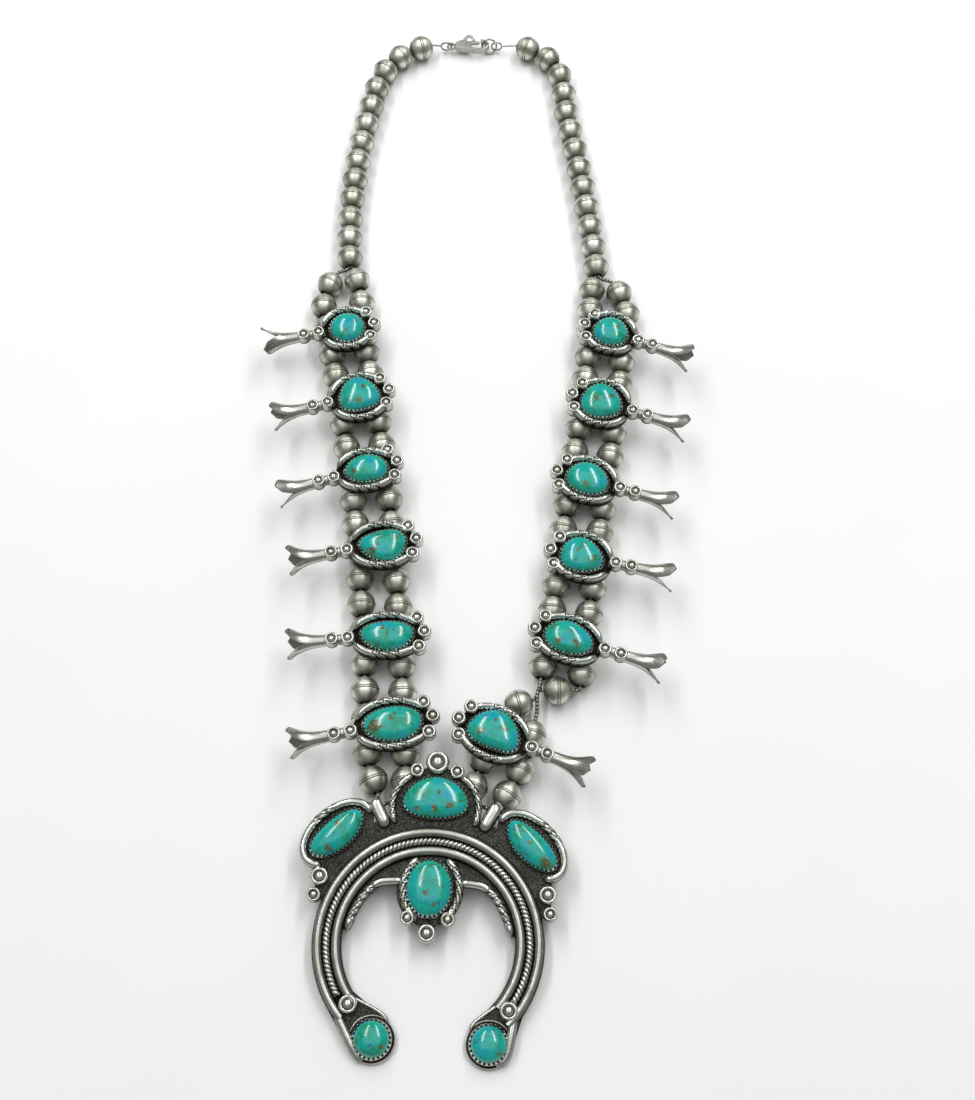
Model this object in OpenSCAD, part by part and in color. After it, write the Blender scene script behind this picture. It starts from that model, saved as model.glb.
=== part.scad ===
// Squash blossom necklace, laid out on a table. Two strings of round silver
// beads part below the neck into double strands, which carry twelve stone-set
// blossoms and meet at the crescent pendant called the naja.
// Millimetres. X runs to the right, Y from the naja to the clasp, Z upwards
// from the table. The origin is the middle of the outline, on the table.

/* [Beads] */
// Diameter of a round bead
bead_d = 8.7; // [7:0.1:10]
// Length of a bead along its thread
bead_l = 8; // [6.5:0.1:9]
// Diameter of the bore through a bead
bead_bore = 2.7; // [2.6:0.1:3.2]
// Gap between two beads on a straight thread
bead_gap = 0.25; // [0.15:0.05:0.6]
// Diameter of the woven chain that the beads are threaded on
thread_d = 1; // [0.6:0.1:1]

/* [Blossoms] */
// Length of the longest blossom stone
stone_l = 17.5; // [14:0.5:20]
// Width of the widest blossom stone
stone_w = 12.5; // [10:0.5:14]
// Height of a blossom stone
stone_h = 4.4; // [3:0.2:6]
// Thickness of a blossom's back plate
plate_t = 1; // [0.8:0.1:1.6]
// Back plate beyond the stone at its ends
end_margin = 3.2; // [2.6:0.1:4]
// Back plate beyond the stone at its sides
side_margin = 2.4; // [2.2:0.1:3.2]
// Width of the leaf wires along the plate's edges
leaf_w = 1.2; // [1:0.1:1.5]
// Height of the leaf wires above the plate
leaf_h = 2.8; // [1.5:0.1:3.5]
// Height of the bezel strip round a blossom stone
bezel_h = 2.4; // [1.5:0.1:3]
// Thickness of every bezel strip
bezel_t = 0.5; // [0.3:0.1:0.7]
// Diameter of a raindrop on a blossom
drop_d = 4.4; // [3.5:0.1:4.8]
// Height of a raindrop above a blossom's plate
drop_h = 2.8; // [1.8:0.1:3.6]
// Diameter of the stem between blossom and flower
stem_d = 3.2; // [2.4:0.1:4]
// Length from a stone's end to the tips of the petals
flower_reach = 22.5; // [20:0.5:28]
// Diameter across the open petals
flower_d = 10; // [8:0.5:12]
// Thickness of a petal
petal_t = 0.8; // [0.6:0.1:1.2]
// Distance between the two shank loops of a blossom
loop_spacing = 11.4; // [11:0.1:12.5]
// Thickness of a shank loop along the thread
loop_t = 1.2; // [0.8:0.1:1.4]
// Width of the metal round the eye of a shank loop
loop_wire = 0.9; // [0.7:0.1:1.2]

/* [Naja] */
// Diameter of the arch, measured on its twisted wire
arch_d = 57.4; // [50:0.2:62]
// Width of a rail of the arch
rail_w = 3; // [2.4:0.1:3.2]
// Height of a rail above the base plate
rail_h = 2; // [1.2:0.1:2.8]
// Diameter of the twisted wire between the rails
rope_d = 1.9; // [1.4:0.1:2.2]
// Thickness of the naja's base plate
base_t = 1.1; // [0.8:0.1:1.8]
// Length of the top stone
top_stone_l = 19; // [16:0.5:20]
// Width of the top stone
top_stone_w = 12; // [10:0.5:13]
// Length of a side stone
ear_stone_l = 18.4; // [15:0.2:19]
// Width of a side stone
ear_stone_w = 8.6; // [6:0.2:9.4]
// Length of the stone that hangs in the arch
arch_stone_l = 16; // [13:0.5:17]
// Width of the stone that hangs in the arch
arch_stone_w = 13; // [11:0.5:14]
// Diameter of a stone at the tip of an arm
tip_stone_d = 10.2; // [8:0.2:11]
// Height of the naja's stones
naja_stone_h = 4.2; // [3:0.2:6]
// Height of the bezel strips on the naja
naja_bezel_h = 2.2; // [1.5:0.1:3]
// Diameter of the raindrop at the very top
crown_drop_d = 6.8; // [5:0.2:7.4]
// Diameter of the next largest raindrops
large_drop_d = 5.4; // [4:0.2:5.8]
// Diameter of the small raindrops on the naja
small_drop_d = 4.3; // [3.4:0.1:4.6]
// Height of the wires along the naja's edges
edge_h = 1.9; // [1.2:0.1:2.6]
// Length of a bail from front to end
bail_l = 10; // [9:0.2:11]
// Width of a bail's band
bail_w = 3.4; // [2.4:0.1:3.8]
// Thickness of a bail's band
bail_t = 1.2; // [0.9:0.1:1.4]

/* [Clasp] */
// Length of the clasp's body
clasp_l = 15.8; // [14:0.2:18]
// Thickness of the clasp's body
clasp_t = 2.4; // [2.2:0.1:3]
// Diameter of the ring that the clasp catches
ring_d = 6; // [5.6:0.1:6.6]
// Diameter of the wire of the ring and the end loops
ring_wire = 0.7; // [0.6:0.1:0.8]

/* [Hidden] */

// Where things lie on the table, chosen by hand for beads of this size, this
// far apart. All chosen points spread when longer or thicker beads need more
// room. Smaller beads keep the lay and have more thread between them.
chosen_pitch = 8.25;
chosen_bead_d = 8.7;
spread = max((bead_l + bead_gap) / chosen_pitch, bead_d / chosen_bead_d);

// Each row is one blossom: its stone's x and y, how far its flower droops
// in degrees, then the middle of its two shank loops and their slope.
LEFT_LAY = [
  [-46.6,  76.0, 11, -47.0,  75.4,  4],
  [-41.7,  49.8, 14, -42.4,  49.2,  4],
  [-38.5,  23.0, 16, -37.8,  21.0,  4],
  [-32.6,  -3.4, 10, -34.6,  -7.0, -5],
  [-30.4, -33.6,  5, -32.2, -35.2, -4],
  [-28.0, -61.7, 11, -30.6, -63.2, -2]];
RIGHT_LAY = [
  [ 40.8,  74.3, 20,  39.8,  73.3, 10],
  [ 37.0,  47.5, 18,  36.3,  46.2,  9],
  [ 31.7,  19.4, 17,  31.8,  18.6,  7],
  [ 29.3,  -7.4, 13,  27.8,  -9.4,  3],
  [ 24.6, -34.8, 18,  23.6, -37.0, 12],
  [  2.0, -64.6, 23,   6.2, -67.4, 18]];
// The top of the naja's crown, in the same chosen places.
CROWN_PLACE = [-16.7, -73.2];

// Routes of the bead strings, from the clasp to the parting of the strands,
// then from there to the first blossom, and past the last blossom.
LEFT_NECK = [[-20.4, 204.2], [-28.8, 201.2], [-35.8, 195.2], [-39.6, 187.0],
  [-42.6, 172.0], [-45.6, 155.0], [-47.4, 135.0], [-47.9, 120.0], [-47.2, 105.0]];
RIGHT_NECK = [[10.6, 204.0], [18.8, 201.2], [24.6, 195.4], [27.2, 187.4],
  [28.4, 172.0], [31.6, 153.0], [34.4, 133.0], [36.6, 113.0], [37.6, 101.2]];
LEFT_OUTER_TOP = [[-51.9, 102.2], [-55.6, 93.4], [-55.4, 84.2]];
LEFT_INNER_TOP = [[-46.0, 104.2], [-43.3, 95.6], [-42.1, 86.2]];
RIGHT_OUTER_TOP = [[43.2, 98.4], [46.6, 89.6], [47.7, 80.6]];
RIGHT_INNER_TOP = [[36.2, 100.0], [35.2, 91.8], [34.4, 83.0]];
LEFT_OUTER_END = [[-35.3, -72.6], [-32.2, -81.0]];
LEFT_INNER_END = [[-24.3, -72.0], [-24.2, -81.4]];
RIGHT_OUTER_END = [[8.2, -77.4], [3.6, -85.0]];
RIGHT_INNER_END = [[-2.6, -74.2], [-5.4, -83.0]];

// Between the fifth and sixth blossom on the right the beads have slid apart,
// and the bare threads cross. Each row is x, y, height above the beads'
// middle, and 1 where a bead follows. A bead comes before the first row too.
RIGHT_INNER_SLACK = [[16.2, -45.2, 0, 0], [15.4, -48.8, 0, 0], [13.6, -52.0, 0, 1],
  [5.2, -54.4, 0, 1]];
RIGHT_OUTER_SLACK = [[28.0, -47.9, 0, 0], [25.8, -48.9, 0, 1], [16.6, -48.9, 0, 0],
  [15.4, -49.2, 1.4, 0], [14.9, -51.4, 1.6, 0], [14.9, -55.0, 0.6, 0], [14.5, -57.6, 0, 1]];

// Shapes of the blossom stones as shares: length of stone_l, width of
// stone_w, how much wider the inner end is, bend, lean in degrees, and the
// turn of the flower's petals in degrees.
LEFT_STONES = [
  [0.66, 0.88,  0.04,  0.00,  0,  60],
  [0.76, 0.98,  0.02, -0.16,  0, -15],
  [0.78, 0.78,  0.08, -0.05,  8,   0],
  [0.84, 0.84,  0.24,  0.12,  6, -30],
  [0.92, 0.76,  0.06,  0.10,  4, -30],
  [1.00, 0.86,  0.04,  0.04,  5, -35]];
RIGHT_STONES = [
  [0.66, 0.86,  0.00, -0.05,  0, -15],
  [0.76, 1.00,  0.16, -0.08,  0,   5],
  [0.78, 0.88,  0.06, -0.05, -5,   0],
  [0.77, 0.92,  0.22, -0.04, -8,  -5],
  [0.86, 0.82,  0.10, -0.04, -3,   0],
  [0.92, 0.94,  0.08, -0.18, -3,  10]];

// Profiles as shares. A raindrop is a low ball with a ring and a bead in it:
// radius as a share of its own, height as a share of its own.
DROP_PROFILE = [[0, 0], [0.78, 0], [1, 0.42], [0.97, 0.66], [0.84, 0.88],
  [0.66, 0.94], [0.52, 0.88], [0.48, 0.76], [0.4, 0.8], [0.36, 0.92], [0.2, 1], [0, 1]];
// The flower's outer radius along its length, and the cut between two petals
// as half its width, both as shares of the flower's length and radius.
FLOWER_PROFILE = [[0, 0.36], [0.3, 0.4], [0.55, 0.5], [0.75, 0.64], [0.9, 0.83], [1, 1]];
PETAL_CUT = [[0.48, 0], [0.68, 0.1], [0.84, 0.26], [0.95, 0.52], [1.02, 0.86]];
flower_hollow = 0.3;
flower_tail = 0.6;

// Clearances that the seats and fits share.
seat_gap = 0.1;
rest_gap = 0.3;
eye_gap = 0.4;
sink = 0.3;
outline_points = 32;
curve_steps = 8;
dome_rings = 5;
// How steeply a stone's dome rises beside its bezel.
dome_power = 3.2;
thread_sides = 6;

// Heights above the table.
thread_z = bead_d / 2;
plate_z = bead_d + rest_gap;

// The rim of a bead's flat face, which meets the next bead's first in a bend.
rim_r = sqrt(pow(bead_d / 2, 2) - pow(bead_l / 2, 2));

// Points on a rounded, egg-like or bean-like outline of half length a and
// half width b, turned by lean degrees.
function outline(a, b, egg = 0, bend = 0, lean = 0) = [
  for (i = [0 : outline_points - 1])
    let (t = 360 * i / outline_points,
         u = a * cos(t),
         v = b * sin(t) * (1 - egg * cos(t)) + bend * b * (2 * pow(cos(t), 2) - 1))
      [u * cos(lean) - v * sin(lean), u * sin(lean) + v * cos(lean)]];

// The same points moved outwards by a distance, across the outline.
function grown(points, distance) =
  let (n = len(points))
    [for (i = [0 : n - 1])
      let (q = points[(i + 1) % n] - points[(i + n - 1) % n])
        points[i] + distance * [q[1], -q[0]] / norm(q)];

// A stone with a domed top on a flat seat. The dome follows a rounded square
// law, so that it is steep at the bezel and flat on top.
module cabochon(a, b, height, egg = 0, bend = 0, lean = 0) {
  rings = [for (k = [0 : dome_rings - 1])
    let (level = sin(90 * k / dome_rings), share = sqrt(1 - pow(level, dome_power)))
      [for (p = outline(a * share, b * share, egg, bend, lean)) [p[0], p[1], height * level]]];
  points = concat([for (ring = rings) each ring], [[0, 0, height], [0, 0, 0]]);
  n = outline_points;
  top = dome_rings * n;
  faces = concat(
    [for (k = [0 : dome_rings - 2], i = [0 : n - 1])
      [k * n + i, (k + 1) * n + i, (k + 1) * n + (i + 1) % n]],
    [for (k = [0 : dome_rings - 2], i = [0 : n - 1])
      [k * n + i, (k + 1) * n + (i + 1) % n, k * n + (i + 1) % n]],
    [for (i = [0 : n - 1]) [(dome_rings - 1) * n + i, top, (dome_rings - 1) * n + (i + 1) % n]],
    [for (i = [0 : n - 1]) [(i + 1) % n, top + 1, i]]);
  polyhedron(points, faces, convexity = 4);
}

// The strip that holds a stone.
module bezel(a, b, height, egg = 0, bend = 0, lean = 0) {
  linear_extrude(height)
    difference() {
      polygon(grown(outline(a, b, egg, bend, lean), seat_gap + bezel_t));
      polygon(grown(outline(a, b, egg, bend, lean), seat_gap));
    }
}

// A raindrop, standing on z = 0.
module raindrop(d, height) {
  rotate_extrude($fn = 32)
    polygon([for (p = DROP_PROFILE) [p[0] * d / 2, p[1] * height]]);
}

// Places of the blossoms and of their shank loops. A side is -1 on the left
// and 1 on the right.
function spread_xy(p) = [p[0] * spread, p[1] * spread];
function lay(side) = side < 0 ? LEFT_LAY : RIGHT_LAY;
function stones(side) = side < 0 ? LEFT_STONES : RIGHT_STONES;
function outward(side, slope) = [side * cos(slope), -sin(slope)];
function stone_xy(side, i) = spread_xy([lay(side)[i][0], lay(side)[i][1]]);
// The shank loop of the outer strand has end = 1, the inner one end = -1.
function loop_xy(side, i, end) =
  spread_xy([lay(side)[i][3], lay(side)[i][4]])
    + outward(side, lay(side)[i][5]) * end * loop_spacing / 2;
function half_l(side, i) = stones(side)[i][0] * stone_l / 2;
function half_w(side, i) = stones(side)[i][1] * stone_w / 2;
function tip_xy(side, i) =
  stone_xy(side, i) + outward(side, lay(side)[i][2]) * (half_l(side, i) + flower_reach);

function xy(p) = [p[0], p[1]];

// Carries a blossom's own frame, x towards its flower, to its place.
module at_blossom(side, i) {
  p = stone_xy(side, i);
  centred()
    translate([p[0], p[1], plate_z])
      rotate([0, 0, -side * lay(side)[i][2]])
        mirror([side < 0 ? 1 : 0, 0, 0])
          children();
}

module leaf_plate(side, i) {
  a = half_l(side, i) + end_margin;
  b = half_w(side, i) + side_margin;
  s = stones(side)[i];
  linear_extrude(plate_t)
    polygon(outline(a, b, 0, 0, s[4]));
  translate([0, 0, plate_t - sink])
    linear_extrude(leaf_h + sink)
      difference() {
        polygon(outline(a, b, 0, 0, s[4]));
        polygon(outline(a - leaf_w, b - leaf_w, 0, 0, s[4]));
        translate([-a - 1, -b * 0.62])
          square([a * 0.3, b * 1.24]);
        translate([a * 0.78, -b])
          square([a, 2 * b]);
      }
}

// A trumpet with three pointed petals, standing on its stem end.
module flower(length, petal_turn) {
  r = flower_d / 2;
  difference() {
    rotate_extrude($fn = 40)
      polygon(concat(
        [[0, 0]],
        [for (p = FLOWER_PROFILE) [p[1] * r, p[0] * length]],
        [for (k = [len(FLOWER_PROFILE) - 1 : -1 : 2])
          [FLOWER_PROFILE[k][1] * r - petal_t, FLOWER_PROFILE[k][0] * length + petal_t * flower_hollow]],
        [[0, 0.45 * length]]));
    for (turn = [60, 180, 300])
      rotate([0, 0, petal_turn + turn])
        translate([petal_t * flower_tail, 0, 0])
          rotate([90, 0, 90])
            linear_extrude(flower_d)
              polygon(concat(
                [for (p = PETAL_CUT) [p[1] * r, p[0] * length]],
                [[PETAL_CUT[4][1] * r, length + 1], [-PETAL_CUT[4][1] * r, length + 1]],
                [for (k = [4 : -1 : 1]) [-PETAL_CUT[k][1] * r, PETAL_CUT[k][0] * length]]));
  }
}

// The loop under a blossom that its thread runs through, with the plate's
// underside at z = 0 and the thread along y.
module shank_loop() {
  eye_r = thread_d / 2 + eye_gap;
  eye_z = thread_z - plate_z;
  translate([0, loop_t / 2, 0])
    rotate([90, 0, 0])
      linear_extrude(loop_t)
        difference() {
          union() {
            translate([0, eye_z])
              circle(r = eye_r + loop_wire, $fn = 32);
            translate([-eye_r - loop_wire, eye_z])
              square([2 * (eye_r + loop_wire), sink - eye_z]);
          }
          translate([0, eye_z])
            circle(r = eye_r, $fn = 32);
          translate([-eye_r, eye_z])
            square([2 * eye_r, -eye_z - loop_wire]);
        }
}

module blossom(side, i) {
  s = stones(side)[i];
  a = half_l(side, i);
  b = half_w(side, i);
  total_drop_h = plate_t + drop_h;
  first_drop = a + end_margin + 0.15 * drop_d;
  second_drop = first_drop + 1.12 * drop_d;
  flower_start = second_drop + 0.3 * drop_d;
  color("silver") {
    at_blossom(side, i) {
      leaf_plate(side, i);
      translate([0, 0, plate_t - sink])
        bezel(a, b, bezel_h + sink, s[2], s[3], s[4]);
      for (v = [-1, 1])
        translate([-a - 0.3 * drop_d, v * 1.07 * drop_d, 0])
          raindrop(drop_d, total_drop_h);
      translate([-a - 0.75 * drop_d, 0, 0])
        raindrop(drop_d, total_drop_h);
      for (u = [first_drop, second_drop])
        translate([u, 0, 0])
          raindrop(drop_d, total_drop_h);
      translate([a + end_margin - leaf_w, 0, stem_d / 2])
        rotate([0, 90, 0])
          cylinder(d = stem_d, h = flower_start + 1 - a - end_margin + leaf_w, $fn = 32);
      translate([flower_start, 0, stem_d / 2])
        rotate([0, 90, 0])
          flower(a + flower_reach - flower_start, s[5] + 180);
    }
    for (end = [-1, 1]) {
      p = loop_xy(side, i, end);
      centred()
        translate([p[0], p[1], plate_z])
          rotate([0, 0, -side * lay(side)[i][5]])
            shank_loop();
    }
  }
}

module blossom_stone(side, i) {
  s = stones(side)[i];
  color("turquoise")
    at_blossom(side, i)
      translate([0, 0, plate_t + seat_gap])
        cabochon(half_l(side, i), half_w(side, i), stone_h, s[2], s[3], s[4]);
}

// The naja in its own frame: origin at the middle of the arch, on the back of
// the base plate, y towards the top. Angles are measured from +x.
arch_r = arch_d / 2;
rail_gap = 0.15;
outer_rail_r = arch_r + rope_d / 2 + rail_gap + rail_w / 2;
inner_rail_r = arch_r - rope_d / 2 - rail_gap - rail_w / 2;
band_edge = 0.2;
band_outer_r = outer_rail_r + rail_w / 2 + band_edge;
band_inner_r = inner_rail_r - rail_w / 2 - band_edge;
rope_end = 31;
plate_end = 36;
inner_rail_end = 39;
outer_rail_end = 42;
// The naja was made by hand, so its two sides differ a little: the tips sit
// to the right of the arch's middle, and the left side stone sits higher.
tips_aside = 0.07 * arch_r;
function lift(side) = side < 0 ? 4.5 : 0;
function polar(r, angle) = r * [cos(angle), sin(angle)];
tip_r = tip_stone_d / 2 + seat_gap + bezel_t + 1;
function tip_at(side) = [0.565 * arch_r + side * tips_aside, -0.913 * arch_r];
function tip_drop_at(side) = [0.78 * arch_r + side * tips_aside / 2, -0.597 * arch_r];
foot_y = tip_at(1)[1] - tip_r;
top_at = [0, band_outer_r + top_stone_w / 2 + 1.6];
ear_margin = 2.9;
ear_lean = -43;
function ear_at(side) =
  polar(band_outer_r + ear_stone_w / 2 + ear_margin + 0.15 * lift(side), 45.5 + 0.35 * lift(side));
arch_at = [-0.02 * arch_r, band_inner_r - arch_stone_l / 2 - 1];
bail_slope = 61;
bail_foot = polar(band_outer_r + 1.8, 67);
bail_h = thread_d + 2 * eye_gap + 2 * bail_t + base_t;
bail_eye = bail_foot + polar(bail_l - bail_t - 1.9, bail_slope);
crown_drop_at = [0, top_at[1] + top_stone_w / 2 + 1.5 + crown_drop_d / 2];
side_drop_at = [crown_drop_d / 2 + 2.4, crown_drop_at[1] - 2.4];

// The naja leans on the last beads of the inner strands, its two tips on the
// table.
naja_turn = -2.5;
lean_reach = 80;
naja_lean = asin((bead_d + rest_gap) / lean_reach);
naja_x = spread_xy(CROWN_PLACE)[0];
naja_y = spread_xy(CROWN_PLACE)[1] - crown_drop_at[1] * cos(naja_lean);
naja_foot_y = naja_point([tip_at(1)[0], foot_y], 0)[1];

module at_naja() {
  centred()
    translate([naja_x, naja_y, 0])
      rotate([0, 0, naja_turn])
        rotate([naja_lean, 0, 0])
          translate([0, 0, -foot_y * tan(naja_lean)])
            children();
}

// The middle of the necklace's outline, which is moved to the origin. The
// petals of the two top flowers reach out unequally far.
clasp_y = spread_xy(LEFT_NECK[0])[1] + 0.9;
thumb_y = 5.4;
petals_aside = 0.2;
middle_x = (tip_xy(-1, 0)[0] + tip_xy(1, 0)[0]) / 2 + petals_aside;
middle_y = (clasp_y + thumb_y + naja_foot_y) / 2;
module centred() {
  translate([-middle_x, -middle_y, 0])
    children();
}

// A point of the naja's frame on the table plan, with its height.
function naja_point(p, h) =
  let (x = p[0],
       z0 = h - foot_y * tan(naja_lean),
       y = p[1] * cos(naja_lean) - z0 * sin(naja_lean),
       z = p[1] * sin(naja_lean) + z0 * cos(naja_lean))
    [naja_x + x * cos(naja_turn) - y * sin(naja_turn),
     naja_y + x * sin(naja_turn) + y * cos(naja_turn), z];

// A round-topped rail bent along the arch.
module rail(r, end_angle) {
  top = rail_h + sink;
  crown_r = (pow(rail_w / 2, 2) + pow(top, 2)) / (2 * top) + 0.03;
  rotate([0, 0, -end_angle])
    rotate_extrude(angle = 180 + 2 * end_angle, $fn = 96)
      translate([r, base_t - sink])
        intersection() {
          translate([-rail_w / 2, 0])
            square([rail_w, top + 1]);
          translate([0, top - crown_r])
            circle(r = crown_r, $fn = 32);
        }
}

module rope_core() {
  rotate([0, 0, -rope_end])
    rotate_extrude(angle = 180 + 2 * rope_end, $fn = 96)
      translate([arch_r, base_t + rope_d / 2 - sink])
        circle(d = rope_d, $fn = 24);
}

// A four-sided strip that joins two circles side by side.
function link_shape(c1, r1, c2, r2) =
  let (d = (c2 - c1) / norm(c2 - c1), n = [-d[1], d[0]])
    [c1 + n * r1, c2 + n * r2, c2 - n * r2, c1 - n * r1];

arm_tip = polar(arch_r, -plate_end);
// The plate beyond each stone, at its ends and at its sides.
ear_side_margin = ear_margin + 0.3;
top_end_margin = 3.2;
top_side_margin = 2.8;
arch_end_margin = 2.6;
arch_side_margin = 2.9;
ear_a = ear_stone_l / 2 + ear_margin;
ear_b = ear_stone_w / 2 + ear_side_margin;
top_a = top_stone_l / 2 + top_end_margin;
top_b = top_stone_w / 2 + top_side_margin;
drop_a = arch_stone_l / 2 + arch_end_margin;
drop_b = arch_stone_w / 2 + arch_side_margin;

// The free edge of the spandrel beside the hanging stone, and the other side of
// its wire, as shares of the arch's radius.
wing_edge = smooth_route([[0.26, 0.57], [0.4, 0.57], [0.53, 0.535], [0.65, 0.41], [0.73, 0.25],
  [0.75, 0.14]]) * arch_r;
wing_wire_top = smooth_route([[0.26, 0.63], [0.4, 0.63], [0.56, 0.595], [0.7, 0.45], [0.79, 0.27],
  [0.81, 0.14]]) * arch_r;

// The way of the thread past the bail, kept clear of the plates.
module thread_way() {
  way = bail_w / 2 + 2.6;
  translate(bail_eye)
    rotate(bail_slope)
      translate([-thread_d / 2 - eye_gap, -way])
        square([bail_l, 2 * way]);
}

module base_outline() {
  difference() {
    circle(r = band_outer_r, $fn = 96);
    circle(r = band_inner_r, $fn = 96);
    polygon([[0, 0], polar(2 * band_outer_r, -plate_end), [0, -3 * band_outer_r],
      polar(2 * band_outer_r, 180 + plate_end)]);
  }
  for (side = [-1, 1])
    mirror([side < 0 ? 1 : 0, 0]) {
      translate(tip_at(side))
        circle(r = tip_r, $fn = 48);
      translate(arm_tip)
        circle(r = arch_r - band_inner_r, $fn = 48);
      polygon(link_shape(arm_tip, arch_r - band_inner_r, tip_at(side), tip_r));
      difference() {
        translate(ear_at(side))
          polygon(outline(ear_a, ear_b, 0, 0, ear_lean));
        thread_way();
      }
      // The web between the side stone, the arch and the bail.
      polygon([polar(band_inner_r + 2, 28), polar(1.31 * arch_r, 32), ear_at(side),
        polar(1.31 * arch_r, 62), polar(1.33 * arch_r, 68), polar(1.33 * arch_r, 76),
        polar(band_inner_r + 2, 80), polar(band_inner_r + 4, 52)]);
      // The web under the two raindrops below the side stone.
      polygon([polar(band_outer_r - 1, 13 + lift(side)), polar(1.27 * arch_r, 13 + lift(side)),
        polar(1.34 * arch_r, 20 + lift(side)), polar(1.36 * arch_r, 27 + lift(side)),
        ear_at(side), polar(band_outer_r - 1, 32 + lift(side))]);
      // The spandrel between the arch and its hanging stone.
      polygon(concat([[0, band_inner_r + 1], [0, arch_at[1]]], wing_edge,
        [for (t = [12, 35, 60]) polar(band_inner_r + 1, t)]));
    }
  translate(top_at)
    polygon(outline(top_a, top_b, 0, -0.12));
  translate(arch_at)
    polygon(outline(drop_a, drop_b, 0, 0, 90));
}

// The wires along the outer edges of the side stones, the top stone and the
// hanging stone.
module edge_wires() {
  for (side = [-1, 1])
    mirror([side < 0 ? 1 : 0, 0]) {
      difference() {
        translate(ear_at(side))
          polygon(outline(ear_a, ear_b, 0, 0, ear_lean));
        translate(ear_at(side))
          polygon(outline(ear_a - leaf_w, ear_b - leaf_w, 0, 0, ear_lean));
        thread_way();
        circle(r = band_outer_r - 0.4, $fn = 96);
        translate(ear_at(side) + polar(ear_a, ear_lean))
          circle(d = large_drop_d, $fn = 32);
      }
      difference() {
        translate(top_at)
          polygon(outline(top_a, top_b, 0, -0.12));
        translate(top_at)
          polygon(outline(top_a - leaf_w, top_b - leaf_w, 0, -0.12));
        circle(r = band_outer_r - 0.4, $fn = 96);
        translate([-1.5 * top_a, 0])
          square([2.05 * top_a, 3 * arch_r]);
      }
      difference() {
        translate(arch_at)
          polygon(outline(drop_a, drop_b, 0, 0, 90));
        translate(arch_at)
          polygon(outline(drop_a - leaf_w, drop_b - leaf_w, 0, 0, 90));
        translate([-2 * drop_b, arch_at[1] + 0.8 * drop_a])
          square([4 * drop_b, drop_a]);
        translate([-2 * drop_b, arch_at[1] - 1.8 * drop_a])
          square([4 * drop_b, drop_a]);
        translate([-2 * drop_b, 0])
          square([2 * drop_b, 3 * drop_a]);
      }
      // The feathered wire along the spandrel's free edge.
      polygon(concat(wing_edge, reversed(wing_wire_top)));
    }
}

// The loop that the thread runs through, a flat band round the plate's edge.
module bail() {
  end_r = bail_h / 2;
  rotate([0, 0, bail_slope])
    translate([0, bail_w / 2, -(bail_h - base_t) / 2])
      rotate([90, 0, 0])
        linear_extrude(bail_w)
          difference() {
            union() {
              translate([end_r, end_r])
                circle(r = end_r, $fn = 48);
              translate([bail_l - end_r, end_r])
                circle(r = end_r, $fn = 48);
              translate([end_r, 0])
                square([bail_l - 2 * end_r, bail_h]);
            }
            translate([end_r, end_r])
              circle(r = end_r - bail_t, $fn = 48);
            translate([bail_l - end_r, end_r])
              circle(r = end_r - bail_t, $fn = 48);
            translate([end_r, bail_t])
              square([bail_l - 2 * end_r, bail_h - 2 * bail_t]);
          }
}

module naja() {
  drop_height = base_t + rail_h + 0.4;
  bezel_foot = base_t - sink;
  color("silver")
    at_naja() {
      linear_extrude(base_t)
        base_outline();
      rail(outer_rail_r, outer_rail_end);
      rail(inner_rail_r, inner_rail_end);
      rope_core();
      translate([0, 0, bezel_foot])
        linear_extrude(edge_h + sink)
          edge_wires();
      translate([top_at[0], top_at[1], bezel_foot])
        bezel(top_stone_l / 2, top_stone_w / 2, naja_bezel_h + sink, 0, -0.2);
      translate([arch_at[0], arch_at[1], bezel_foot])
        bezel(arch_stone_l / 2, arch_stone_w / 2, naja_bezel_h + sink, 0, 0, 90);
      translate(crown_drop_at)
        raindrop(crown_drop_d, drop_height + 0.6);
      translate(arch_at - [0, drop_a + 0.35 * large_drop_d])
        raindrop(large_drop_d, drop_height);
      for (side = [-1, 1]) {
        translate(arch_at + [side * 0.2 * arch_r, 0.5 * small_drop_d - drop_a])
          raindrop(small_drop_d, drop_height);
        mirror([side < 0 ? 1 : 0, 0, 0]) {
          translate([ear_at(side)[0], ear_at(side)[1], bezel_foot])
            bezel(ear_stone_l / 2, ear_stone_w / 2, naja_bezel_h + sink, 0, 0.06, ear_lean);
          translate([tip_at(side)[0], tip_at(side)[1], bezel_foot])
            bezel(tip_stone_d / 2, tip_stone_d / 2, naja_bezel_h + sink);
          translate(side_drop_at)
            raindrop(small_drop_d, drop_height);
          translate(polar(1.3 * arch_r, 24.2 + lift(side)))
            raindrop(large_drop_d, drop_height);
          translate(polar(1.26 * arch_r, 15.8 + lift(side)))
            raindrop(small_drop_d, drop_height);
          translate(tip_drop_at(side))
            raindrop(large_drop_d, drop_height + 0.2);
          translate(bail_foot)
            bail();
        }
      }
    }
}

module naja_stone(at, a, b, bend = 0, lean = 0) {
  color("turquoise")
    at_naja()
      translate([at[0], at[1], base_t + seat_gap])
        cabochon(a, b, naja_stone_h, 0, bend, lean);
}

module top_stone() {
  naja_stone(top_at, top_stone_l / 2, top_stone_w / 2, -0.2);
}

module ear_stone(side) {
  naja_stone([side * ear_at(side)[0], ear_at(side)[1]], ear_stone_l / 2, ear_stone_w / 2,
    0.06, side * ear_lean);
}

module arch_stone() {
  naja_stone(arch_at, arch_stone_l / 2, arch_stone_w / 2, 0, 90);
}

module tip_stone(side) {
  naja_stone([side * tip_at(side)[0], tip_at(side)[1]], tip_stone_d / 2, tip_stone_d / 2);
}

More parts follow.
